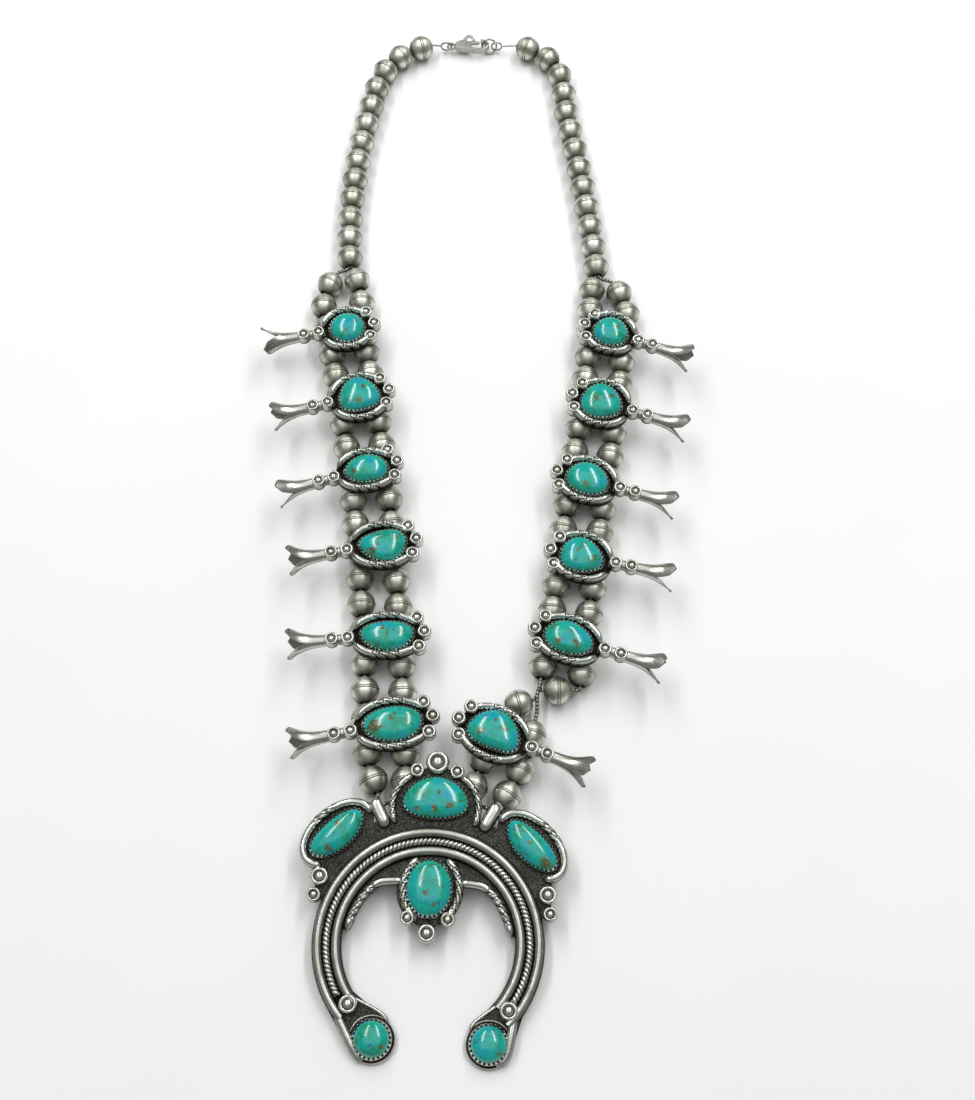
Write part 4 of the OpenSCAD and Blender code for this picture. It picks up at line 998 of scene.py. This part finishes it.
# The lean lifts the naja's top onto the beads, 80 mm from its tips.
NAJA_LEAN = np.degrees(np.arcsin((BEAD_D + 0.3) / 80))
NAJA_TURN = -2.5
NAJA_X = -16.7
NAJA_Y = -73.2 - CROWN_AT[1] * np.cos(np.radians(NAJA_LEAN))
NAJA_FRAME = (shift(NAJA_X, NAJA_Y) @ rotation("z", NAJA_TURN) @ rotation("x", NAJA_LEAN)
              @ shift(0, 0, -FOOT_Y * np.tan(np.radians(NAJA_LEAN))))
NAJA_HOME = HOME @ NAJA_FRAME
MIRROR = np.diag([-1.0, 1.0, 1.0, 1.0])
print("the naja leans by", round(float(NAJA_LEAN), 2), "degrees")


# %% Helpers for the arch
def arc(profile, end_angle, tarnish_and_shade, n=150):
    """A closed profile of radius and height, carried round the arch from -end_angle to
    180 + end_angle degrees."""
    t = np.radians(np.linspace(-end_angle, 180 + end_angle, n))[:, None]
    r, z = profile[:, 0][None], profile[:, 1][None]
    return skin(points_of(r * np.cos(t), r * np.sin(t), z), tarnish_and_shade=tarnish_and_shade[None])


def rail_profile(radius, width, foot, top):
    """A flat foot under half of an ellipse."""
    t = np.linspace(0, np.pi, 17)
    hump = points_of(radius + 0.5 * width * np.cos(t), foot + 0.35 + (top - foot - 0.35) * np.sin(t))
    return np.vstack([[radius + 0.5 * width, foot], hump, [radius - 0.5 * width, foot]])


def twisted_wire(path, strand_r, pitch, strands=2, spread=0.5, n=10):
    """Strands that wind round a centre line: each is a tube whose middle circles the line
    once every pitch millimetres. The tarnish lies on the side towards the line."""
    s = distance_along(path)
    along = unit(np.gradient(path, axis=0))
    side = unit(np.cross(along, [0.0, 0.0, 1.0]))
    up = np.cross(side, along)
    out = []
    for k in range(strands):
        w = 2 * np.pi * (s / pitch + k / strands)
        outwards = np.cos(w)[:, None] * side + np.sin(w)[:, None] * up
        centre = path + spread * outwards
        tangent = unit(np.gradient(centre, axis=0))
        outwards = unit(outwards - (outwards * tangent).sum(1)[:, None] * tangent)
        rings = circles(centre, strand_r, outwards, np.cross(tangent, outwards), n)
        out.append(skin(rings, tarnish_and_shade=np.clip(0.5 - 0.85 * np.cos(whole_turn(n)), 0, 1)[None]))
    return out


print("a rail's profile has", len(rail_profile(OUTER_RAIL_R, RAIL_W, 0, 2)), "points")

# %% The arch: sheet, two rails and a twisted wire
BAND = np.array([[BAND_OUTER, 0.25], [BAND_OUTER - BAND_EDGE, 0],
                 [BAND_INNER + BAND_EDGE, 0], [BAND_INNER, 0.25],
                 [BAND_INNER, 0.9], [BAND_INNER + BAND_EDGE, BASE_T],
                 [BAND_OUTER - BAND_EDGE, BASE_T], [BAND_OUTER, 0.9]])
BAND_DARK = np.array([0.1, 0.2, 0.2, 0.1, 0.1, 0.9, 0.9, 0.1])
# A rail is painted bright on its crown and dark down its flanks, as painted shade
# and a painted dark reflection; the dark at its feet is patina in the joint.
RAIL_PAINTED_SHADE = np.concatenate([[0.9], np.clip(1.6 - 1.4 * np.sin(np.linspace(0, np.pi, 17)), 0.2, 1), [0.9]])

naja_parts = [arc(BAND, 36, BAND_DARK)]
for rail_r, end_angle in ((OUTER_RAIL_R, 42), (INNER_RAIL_R, 39)):
    profile = rail_profile(rail_r, RAIL_W + 0.1, BASE_T - 0.3, BASE_T + RAIL_H + 0.1)
    naja_parts.append(arc(profile, end_angle, RAIL_PAINTED_SHADE))
rope = polar(ARCH_R, np.linspace(-31, 211, 900))
naja_parts += twisted_wire(points_of(*rope.T, BASE_T + ROPE_D / 2 + ROPE_GAP), 0.6, 2.5)
print("arch parts:", len(naja_parts))

# %% [markdown]
# Outside and inside the arch lie thin sheets: behind each stone, between the
# arch and the side stones, and a curved web that reaches down on each side of
# the hanging stone. Sheets that cross differ by a few hundredths of a
# millimetre in height, so that no two faces lie in one plane.

# %% Sheets behind the stones, and the curved webs
EAR_A, EAR_B = EAR_L / 2 + EAR_MARGIN, EAR_W / 2 + EAR_MARGIN + 0.3
TOP_A, TOP_B = TOP_L / 2 + 3.2, TOP_W / 2 + 2.8
DROP_A, DROP_B = ARCH_L / 2 + 2.6, ARCH_W / 2 + 2.9
TOP_BEND = -0.13
WEB_EDGE = smooth_route(np.array([[0.26, 0.60], [0.40, 0.60], [0.545, 0.565], [0.675, 0.43], [0.765, 0.26],
                                  [0.80, 0.15], [0.825, 0.10]]) * ARCH_R, 12)


def strip(first, second, z0, z1, tarnish_and_shade=0.8):
    """A flat sheet between two curves with equal numbers of points: a rectangle carried
    along, its one side on each curve."""
    corners = [(first, z0), (second, z0), (second, z1), (first, z1)]
    return skin(np.stack([points_of(*line.T, z) for line, z in corners], 1), tarnish_and_shade=tarnish_and_shade)


def sheet_at(at, top, *shape):
    """A sheet behind a stone, on the table side of the naja up to top."""
    return moved(slab(outline(*shape), 0.0, top, 0.8, edge=1.0), shift(*at))


def webs(side):
    """The side stone's sheet, the sheets that join it to the band, and the curved web."""
    upper, lower, inner = np.linspace(28, 90, 30), np.linspace(15, 33, 20), np.linspace(72, 8, len(WEB_EDGE))
    reach = np.interp(lower, [15, 18, 24, 33], [1.2, 1.25, 1.32, 1.4]) * ARCH_R
    lower = lower + lift(side)
    return [sheet_at(ear_at(side), BASE_T + 0.03, EAR_A, EAR_B, 0, 0, EAR_LEAN),
            strip(polar(BAND_OUTER - 1, upper), polar(1.32 * ARCH_R + 0 * upper, upper), 0.02, BASE_T - 0.03),
            strip(polar(BAND_OUTER - 1, lower), polar(reach, lower), 0.03, BASE_T - 0.05),
            strip(polar(BAND_INNER + 1, inner), WEB_EDGE, 0.04, BASE_T - 0.02)]


print("the right half has", len(webs(1)), "sheets")


# %% The ends of the arms
# Past both ends of a wire, so that it stays plain.
NO_CUTS = (2, 3)


def arm_end(side):
    """A sheet that widens from the band to the tip, the tip's disc, and the wires along
    both of its edges: the outer one runs on from the outer rail round the disc."""
    tip, shoulder = tip_at(side), polar(ARCH_R, -35)
    half_band = ARCH_R - BAND_INNER
    join = tip - shoulder
    across = -level_normal(join)
    k = np.linspace(0, 1, 12)[:, None]
    width = half_band * (1 - k) + TIP_R * k
    spine = shoulder + join * k
    outer = -across if across[0] < 0 else across
    outer_edge = [polar(OUTER_RAIL_R, -32), polar(OUTER_RAIL_R, -37), tip + outer * (TIP_R - 0.9),
                  tip + polar(TIP_R - 0.9, -70)]
    inner_edge = [polar(INNER_RAIL_R, -34), tip - outer * (TIP_R - 0.4) - 0.3 * join,
                  tip - outer * (TIP_R - 0.5)]
    shoulder_disc = outline(half_band - 0.05, half_band - 0.05, n=48)
    return [strip(spine - across * width, spine + across * width, 0.01, BASE_T - 0.04),
            carved_wire(smooth_route(outer_edge, 16), 2.7, 0.2, BASE_T + RAIL_H - 0.1,
                        cuts=NO_CUTS, taper=0.5, tarnish_and_shade=0.15),
            carved_wire(smooth_route(inner_edge, 16), 1.1, 0.2, BASE_T + 0.5, cuts=NO_CUTS, tarnish_and_shade=0.15),
            moved(slab(shoulder_disc, 0.02, BASE_T - 0.01, 0.8, edge=1.0), shift(*shoulder)),
            moved(slab(outline(TIP_R, TIP_R), 0.0, BASE_T + 0.05, 0.9, rim=0.4, edge=0.15), shift(*tip))]


print("an arm's end has", len(arm_end(1)), "parts")

# %% Bezels, wires and raindrops of the naja
EDGE_TOP = BASE_T + EDGE_H + 0.35
DROP_TALL = BASE_T + RAIL_H + 0.4
TOP_WIRE = smooth_route([[6.9, 47.8], [9.4, 46.0], [11.6, 43.0], [12.5, 39.6], [12.2, 36.2],
                         [11.4, 33.4]], 18)


def naja_bezel(at, length, width, bend=0.0, lean=0.0):
    """The bezel of one stone of the naja."""
    shape = outline(length / 2, width / 2, 0, bend, lean)
    bezel = toothed_bezel(shape, BASE_T + SEAT_GAP, NAJA_STONE_H, BASE_T - 0.3, BASE_T + NAJA_BEZEL_H - 0.1)
    return moved(bezel, shift(*at))


def edge_wire(a, b, at, lean, low, high, **options):
    """A carved wire just inside an outline, between two of its angles."""
    path = outline(a - 0.7, b - 0.7, lean=lean, t=np.radians(np.linspace(low, high, 100))) + at
    return carved_wire(path, 2.2, BASE_T - 0.4, EDGE_TOP, **options)


def wires(side):
    """The web's wire, the leaf wires round the side stone and beside the top stone, and
    the one round the hanging stone."""
    ear_cuts = (0.42, 0.62) if side > 0 else (0.46, 0.64)
    return [carved_wire(WEB_EDGE, 2.3, 0.1, EDGE_TOP - 0.25, cuts=(0.38, 0.86), leaf=2.5, taper=0.12),
            edge_wire(EAR_A, EAR_B, ear_at(side), EAR_LEAN, -38, 196, cuts=ear_cuts, taper=0.05),
            carved_wire(TOP_WIRE, 1.9, BASE_T - 0.4, EDGE_TOP, cuts=(0.3, 0.85), leaf=2.5),
            edge_wire(DROP_A, DROP_B, ARCH_AT, 90, -30, -152, cuts=(0.15, 0.8), leaf=2.6)]


def naja_half(side):
    """All parts of one half: made on the right, and mirrored for the left."""
    parts = webs(side) + arm_end(side) + wires(side)
    parts += [naja_bezel(ear_at(side), EAR_L, EAR_W, 0.06, EAR_LEAN), naja_bezel(tip_at(side), TIP_D, TIP_D)]
    parts += [raindrop(SMALL_D, DROP_TALL, CROWN_D / 2 + 2.4, CROWN_AT[1] - 2.4),
              raindrop(LARGE_D, DROP_TALL, *polar(1.27 * ARCH_R, 24.2 + lift(side))),
              raindrop(SMALL_D, DROP_TALL, *polar(1.235 * ARCH_R, 15.8 + lift(side))),
              raindrop(LARGE_D, DROP_TALL + 0.2, *tip_drop_at(side))]
    return parts if side > 0 else [moved(part, MIRROR) for part in parts]


hanging_y = ARCH_AT[1] - DROP_A
naja_parts += naja_half(-1) + naja_half(1)
naja_parts += [sheet_at(TOP_AT, BASE_T + 0.06, TOP_A, TOP_B, 0, -0.12),
               sheet_at(ARCH_AT, BASE_T + 0.04, DROP_A, DROP_B, 0, 0, 90),
               naja_bezel(TOP_AT, TOP_L, TOP_W, TOP_BEND),
               naja_bezel(ARCH_AT, ARCH_L, ARCH_W, 0, 90),
               raindrop(CROWN_D, DROP_TALL + 0.6, *CROWN_AT),
               raindrop(LARGE_D, DROP_TALL, ARCH_AT[0], hanging_y - 0.35 * LARGE_D)]
naja_parts += [raindrop(SMALL_D, DROP_TALL, ARCH_AT[0] + side * 0.2 * ARCH_R, hanging_y + 0.5 * SMALL_D)
               for side in (-1, 1)]
print("naja parts:", len(naja_parts))


# %% Bails
def bail():
    """A domed band round a long slot: a section that is thin at its edges is carried round
    two half circles and the two straights between them, and narrows towards the top."""
    tall = THREAD_D + 2 * EYE_GAP + 2 * BAIL_T + BASE_T
    r = tall / 2 - 0.5 * BAIL_T
    left, right = tall / 2, BAIL_L - tall / 2
    t = np.linspace(0.5 * np.pi, 1.5 * np.pi, 18)
    run = np.linspace(left, right, 6)[1:-1]
    path = np.vstack([points_of(left + r * np.cos(t), tall / 2 + r * np.sin(t)),
                      points_of(run, tall / 2 - r),
                      points_of(right - r * np.cos(t), tall / 2 - r * np.sin(t)),
                      points_of(run[::-1], tall / 2 + r)])
    w = np.linspace(-1, 1, 11)
    outside = 0.5 * BAIL_T * (1.9 * np.sqrt(np.clip(1 - w**2, 0, 1)) - 0.8)
    push = np.concatenate([outside, np.full(11, -0.5 * BAIL_T)])
    across = np.concatenate([w, w[::-1]]) * (BAIL_W / 2 + 0.2)
    short = np.clip(0.62 * BAIL_L - path[:, 0], 0, None) / (0.66 * BAIL_L)
    narrow = 0.7 + 0.3 * np.sqrt(np.clip(1 - short**2, 0, 1))
    xz = path[:, None] + outward_normal(path)[:, None] * push[None, :, None]
    dark = np.concatenate([0.7 * np.abs(w) ** 6, np.full(11, 0.9)])[None]
    ring = skin(upright(xz, narrow[:, None] * across[None]), loop=True, tarnish_and_shade=dark)
    return moved(ring, shift(*BAIL_FOOT, -(tall - BASE_T) / 2) @ rotation("z", BAIL_SLOPE))


naja_parts += [bail(), moved(bail(), MIRROR)]
# The naja takes painted shade on its steep and downward faces.
piece("naja_silver", [moved(part, NAJA_HOME) for part in naja_parts], SILVER, "naja",
      underside_shade=0.6, fields=["stamp"])
print("a bail has", len(bail()["points"]), "points")

# %% Naja stones
# A row is a name, the place, length and width, egg with bend and lean, the
# patches of host rock and the seed.
NAJA_STONES = [
    ("top", TOP_AT, (TOP_L, TOP_W), (0, TOP_BEND, 0),
     [(0.0, -0.45, 1.5), (0.45, -0.3, 1.6), (-0.55, -0.5, 1.2), (0.1, 0.35, 0.9)], 21),
    ("arch", ARCH_AT, (ARCH_L, ARCH_W), (0, 0, 90),
     [(-0.2, 0.1, 1.0), (-0.55, -0.3, 0.9), (0.3, 0.3, 0.8)], 22),
    ("left_ear", ear_at(-1) * [-1, 1], (EAR_L, EAR_W), (0, 0.06, -EAR_LEAN),
     [(0.2, 0.35, 1.6), (-0.5, -0.5, 1.6)], 22),
    ("left_tip", tip_at(-1) * [-1, 1], (TIP_D, TIP_D), (0, 0, 0), [(0.55, -0.4, 1.2)], 26),
    ("right_ear", ear_at(1), (EAR_L, EAR_W), (0, 0.06, EAR_LEAN),
     [(0.72, -0.1, 2.4), (-0.1, 0.0, 1.0), (-0.7, 0.2, 1.0)], 24),
    ("right_tip", tip_at(1), (TIP_D, TIP_D), (0, 0, 0), [(0.6, -0.5, 1.2)], 28)]
for name, at, size, shape, patches, seed in NAJA_STONES:
    home = NAJA_HOME @ shift(*at, BASE_T + SEAT_GAP)
    stone_piece(f"{name}_turquoise", f"{name}_stone", size, shape, NAJA_STONE_H, home, patches, seed)
print("naja stones:", len(NAJA_STONES))

# %% [markdown]
# ## The strings
#
# The beads lie shoulder to shoulder along a route of a few chosen points. A
# smooth curve runs through the points, and the beads divide its length
# evenly. In a bend the beads' rims meet first, so a bend shortens the run.
# Between the two lowest blossoms on the right the beads have slid apart, so
# there every bead has its own place.

# %% Tables of the strings
NECK = {
    -1: [[-20.4, 204.2], [-28.8, 201.2], [-35.8, 195.2], [-39.6, 187.0], [-42.6, 172.0], [-45.6, 155.0],
         [-47.4, 135.0], [-47.9, 120.0], [-47.2, 105.0]],
    1: [[10.6, 204.0], [18.8, 201.2], [24.6, 195.4], [27.2, 187.4], [28.4, 172.0], [31.6, 153.0],
        [34.4, 133.0], [36.6, 113.0], [37.6, 101.2]]}
# The start and the end of each strand. The key is the side, and 1 for the
# outer strand or -1 for the inner one.
STRANDS = {
    (-1, 1): ([[-51.9, 102.2], [-55.6, 93.4], [-55.4, 84.2]], [[-35.3, -72.6], [-32.2, -81.0]]),
    (-1, -1): ([[-46.0, 104.2], [-43.3, 95.6], [-42.1, 86.2]], [[-24.3, -72.0], [-24.2, -81.4]]),
    (1, 1): ([[43.2, 98.4], [46.6, 89.6], [47.7, 80.6]], [[8.2, -77.4], [3.6, -85.0]]),
    (1, -1): ([[36.2, 100.0], [35.2, 91.8], [34.4, 83.0]], [[-2.6, -74.2], [-5.4, -83.0]])}
# The slack rows: x, y, height above the beads' middle, and 1 where a bead
# follows.
SLACK = {
    -1: [[16.2, -45.2, 0, 0], [15.4, -48.8, 0, 0], [13.6, -52.0, 0, 1], [5.2, -54.4, 0, 1]],
    1: [[28.0, -47.9, 0, 0], [25.8, -48.9, 0, 1], [16.6, -48.9, 0, 0], [15.4, -49.2, 1.4, 0],
        [14.9, -51.4, 1.6, 0], [14.9, -55.0, 0.6, 0], [14.5, -57.6, 0, 1]]}
NECK_BEADS, TOP_BEADS, BETWEEN_BEADS, TAIL_BEADS = 13, 3, 3, 2
RIM_R = np.sqrt((BEAD_D / 2) ** 2 - (BEAD_L / 2) ** 2)
print("a bead's flat end has a radius of", round(float(RIM_R), 2), "mm")


# %% Stations along the strings
def even_stations(route, count):
    """Stations for count beads: x, y, z and 1 where a bead sits before the next station.
    Each turn of the route takes the rim's radius times its angle off the run."""
    p = smooth_route(route)
    step = np.diff(p, axis=0)
    heading = np.arctan2(step[:, 1], step[:, 0])
    turn = np.abs((np.diff(heading) + np.pi) % (2 * np.pi) - np.pi)
    turn[0] = 0.0
    length = np.linalg.norm(step, axis=1)
    length[:-1] -= RIM_R * turn
    run = np.append(0, np.cumsum(length))
    s = run[-1] * np.arange(count + 1) / count
    flag = np.append(np.ones(count), 0)
    return points_of(*at_distance(s, run, p).T, THREAD_Z, flag)


def towards(p, q, distance):
    """The point a distance from p on the way to q."""
    p, q = np.asarray(p, float), np.asarray(q, float)
    return p + unit(q - p) * distance


def strand(side, end):
    """All stations of one strand, from the parting down to the naja."""
    top, tail = STRANDS[(side, end)]
    half = LOOP_T / 2 + EYE_GAP
    loops = [loop_xy(side, i, end) for i in range(6)]
    stations = [even_stations(top + [towards(loops[0], top[2], half)], TOP_BEADS)]
    for i, (a, b) in enumerate(zip(loops, loops[1:])):
        if side > 0 and i == 4:
            rows = np.array(SLACK[end], float)
            rows[:, 2] += THREAD_Z
            first, last = towards(a, rows[0, :2], half), towards(b, rows[-1, :2], half)
            stations.append(np.vstack([[*first, THREAD_Z, 1], rows, [*last, THREAD_Z, 0]]))
        else:
            stations.append(even_stations([towards(a, b, half), towards(b, a, half)], BETWEEN_BEADS))
    stations.append(even_stations([towards(loops[5], tail[0], half)] + tail, TAIL_BEADS))
    return np.vstack(stations)


STRINGS = {}
for side in SIDE_NAMES:
    STRINGS[(side, "neck")] = even_stations(NECK[side], NECK_BEADS)
    STRINGS[(side, "outer")] = strand(side, 1)
    STRINGS[(side, "inner")] = strand(side, -1)
print("beads:", int(sum(rows[:, 3].sum() for rows in STRINGS.values())))

# %% [markdown]
# One bead is a profile turned round its thread. The profile follows the ball,
# has a low ridge at the soldered seam, rounds into the flat ends and comes
# back through the bore. The ridge sits a little askew on each bead, because
# no two were soldered quite alike.

# %% Beads
def bead_surface(seed, n=32):
    """x and the radius follow the ball's circle. The seam adds a narrow ridge with a fine
    groove on each side, shifted by a small tilt, and a dent makes the ball a little oval."""
    random = np.random.default_rng(seed)
    share = np.linspace(-1, 1, 41)
    w = np.arcsin(BEAD_L / BEAD_D) * (0.45 * share + 0.55 * share**3)
    bore_x = np.array([4.0, 3.9, 3.0, 0, -3.0, -3.9, -4.0])
    bore_r = BORE_D / 2 + 0.12 * (np.abs(bore_x) == 4.0)
    t = whole_turn(n)
    x = np.concatenate([BEAD_D / 2 * np.sin(w), bore_x])[:, None]
    r = np.concatenate([BEAD_D / 2 * np.cos(w), bore_r])[:, None]
    shell = np.arange(len(x))[:, None] < len(share)
    tilt, phase = random.uniform(0.0, 0.28), random.uniform(0, 2 * np.pi)
    seam = x - tilt * np.cos(t - phase) - random.uniform(-0.25, 0.25)
    ridge = 0.13 * np.exp(-(seam / 0.17) ** 2) - 0.05 * np.exp(-((np.abs(seam) - 0.38) / 0.12) ** 2)
    dent = 0.035 * np.cos(2 * t + phase) * np.cos(0.35 * x)
    r = r + shell * (ridge + dent)
    seam_dark = 0.8 * np.exp(-((np.abs(seam) - 0.36) / 0.15) ** 2)
    dark = np.where(shell, seam_dark + smooth_step(np.abs(x), 2.0, 4.0) * 0.6, 0.95)
    part = skin(points_of(x, r * np.cos(t), r * np.sin(t)), loop=True, tarnish_and_shade=dark)
    part["bead_place"] = part["points"] + random.uniform(-40, 40, 3)
    part["bead_tone"] = np.full(len(part["points"]), random.uniform(0.15, 0.95))
    return part


for (side, kind), rows in STRINGS.items():
    beads = []
    for j in np.flatnonzero(rows[:, 3] == 1):
        p, q = rows[j, :3], rows[j + 1, :3]
        heading = np.degrees(np.arctan2(q[1] - p[1], q[0] - p[0]))
        # Every bead of the necklace has a seed of its own.
        seed = int(1000 * (side + 2) + 100 * len(kind) + 7 * ord(kind[0]) + j)
        place = HOME @ shift(*(p + q) / 2) @ rotation("z", heading)
        bead = moved(bead_surface(seed), place)
        bead["thread_way"] = np.tile(place[:3, 0], (len(bead["points"]), 1))
        beads.append(bead)
    name = f"{SIDE_NAMES[side]}_{kind}_beads"
    # The beads take a little painted shade on their steep and lower sides.
    piece(f"{name}_silver", beads, BEAD_SILVER, name, sharp=1.2, underside_shade=0.35,
          fields=["thread_way", "bead_place", "bead_tone"])
    print(name, len(beads))

# %% [markdown]
# The beads are strung on a woven foxtail chain. It shows where the strings
# part and where beads have slid, as a dark cord with a herringbone of links.
# Modelled links would be far too many, so one tube has the weave in its
# radius: a wave along it, shifted round it so that its ridges form chevrons.

# %% The threads' route
def beside(p, q, push):
    """A point beside p, square to the way to q."""
    return p - np.append(push * level_normal((q - p)[:2]), 0.0)


def bail_turn(side):
    """The thread's way through the bail, as steps along and across its eye."""
    eye = (NAJA_FRAME @ [side * BAIL_EYE[0], BAIL_EYE[1], BASE_T / 2, 1.0])[:3]
    along = np.radians(-NAJA_TURN + side * (90 - BAIL_SLOPE))
    out = side * np.array([np.cos(along), -np.sin(along), 0.0])
    # Steps outwards in shares of w, then along y and z in millimetres.
    w = BAIL_W / 2 + THREAD_D
    steps = np.array([[1.15, 1.2, -3.1], [1.2, 0.5, -0.8], [0.6, 0, 0],
                      [-0.6, 0, 0], [-1.2, 0, -0.8], [-1.5, 0.5, -3.1]])
    return eye + steps[:, :1] * w * out + np.column_stack([np.zeros(6), steps[:, 1:]])


def thread_points(side):
    """Down the neck and the outer strand, through the bail, up the inner strand, and back
    beside its own beginning for a short way."""
    top, outer, inner = (STRINGS[(side, kind)][:, :3] for kind in ("neck", "outer", "inner"))
    push = side * (THREAD_D / 2 + 0.08)
    last, before = top[-1], top[-2]
    end = beside(0.8 * last + 0.2 * before, 0.6 * last + 0.4 * before, push)
    return np.vstack([top[:-1], beside(last, before, -push), outer, bail_turn(side), inner[::-1],
                      beside(last, before, push), end])


def even_path(points, step):
    """The same path, cut into equal steps, and the distance along it."""
    s = distance_along(points)
    t = np.linspace(0, s[-1], int(s[-1] / step))
    return at_distance(t, s, points), t


print("points on the left thread's route:", len(thread_points(-1)))

# %% Threads
WEAVE_STEP, WEAVE_SIDES, WEAVE_PITCH, WEAVE_SLANT = 0.26, 12, 1.15, 2.2

for side, word in SIDE_NAMES.items():
    path, s = even_path(smooth_route(thread_points(side), 4), WEAVE_STEP)
    angle = whole_turn(WEAVE_SIDES)[None]
    chevron = WEAVE_SLANT * np.abs((angle / np.pi) % 1 - 0.5)
    weave = np.cos(2 * angle) * np.cos(2 * np.pi * s[:, None] / WEAVE_PITCH + chevron)
    radius = 0.5 * THREAD_D + 0.07 + 0.1 * weave
    chain = tube(path, radius, WEAVE_SIDES, tarnish_and_shade=np.clip(0.4 - 0.6 * weave, 0, 1))
    piece(f"{word}_thread_chain", [moved(chain, HOME)], CHAIN_SILVER, f"{word}_thread", sharp=1.5)
    print(f"{word} thread", round(float(s[-1])), "mm")

# %% [markdown]
# ## Clasp and end loops
#
# The ring and the two end loops are drawn wire, round in the CAD already, and
# only get their finish. The clasp's body and lever are cast, and filed round
# along every edge. They could be modelled again from nothing, but then the
# lever might no longer fit its slot. So each is a copy of its CAD solid, cut
# into small even faces, and smoothing wears its edges down.

# %% Clasp
for node in ("clasp_ring", "left_end_loop", "right_end_loop"):
    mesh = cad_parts[node].data
    mesh.materials.clear()
    mesh.materials.append(CLASP_SILVER)


def filed_round(node, body, cell, passes):
    """A copy of a CAD solid in even faces one cell wide. Each smoothing pass moves every
    point halfway to the mean of its neighbours, which rounds the edges first."""
    work = bmesh.new()
    work.from_mesh(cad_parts[node].data)
    bmesh.ops.remove_doubles(work, verts=work.verts, dist=1e-6)
    mesh = bpy.data.meshes.new(f"{node}_cast")
    work.to_mesh(mesh)
    work.free()
    thing = put_in(f"{node}_cast", mesh)
    cells = thing.modifiers.new("even_cells", "REMESH")
    cells.mode, cells.voxel_size, cells.use_smooth_shade = "VOXEL", cell * MM, True
    worn_down = thing.modifiers.new("worn_edges", "SMOOTH")
    worn_down.factor, worn_down.iterations = 0.5, passes
    finished = thing.evaluated_get(bpy.context.evaluated_depsgraph_get())
    thing.data = bpy.data.meshes.new_from_object(finished)
    thing.modifiers.clear()
    thing.data.materials.clear()
    thing.data.materials.append(CLASP_SILVER)
    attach(thing, body)
    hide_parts(node)
    print(thing.name, len(thing.data.polygons), "faces")


filed_round("clasp_body", "necklace", 0.17, 9)
filed_round("clasp_lever", "lever", 0.15, 4)

# %% [markdown]
# ## The table
#
# A plain pale sheet lies under the necklace, a fifth of a millimetre below it.
# It is part of the stage and not of the object.

# %% Floor
FLOOR_HALF, FLOOR_Z = 6.0, -0.0002
FLOOR, tree, shader = new_material("pale_sheet")
tone = ramp(noise(object_place(tree), 9.0, 2.0), [(0.3, 0.9), (0.7, 0.93)])
feed(shader, {"Base Color": tone, "Roughness": 0.9})

mesh = bpy.data.meshes.new("floor")
corners = [(x * FLOOR_HALF, y * FLOOR_HALF, FLOOR_Z) for x, y in ((-1, -1), (1, -1), (1, 1), (-1, 1))]
mesh.from_pydata(corners, [], [(0, 1, 2, 3)])
mesh.materials.append(FLOOR)
floor = put_in("floor", mesh)
print("the floor is", 2 * FLOOR_HALF, "m wide")
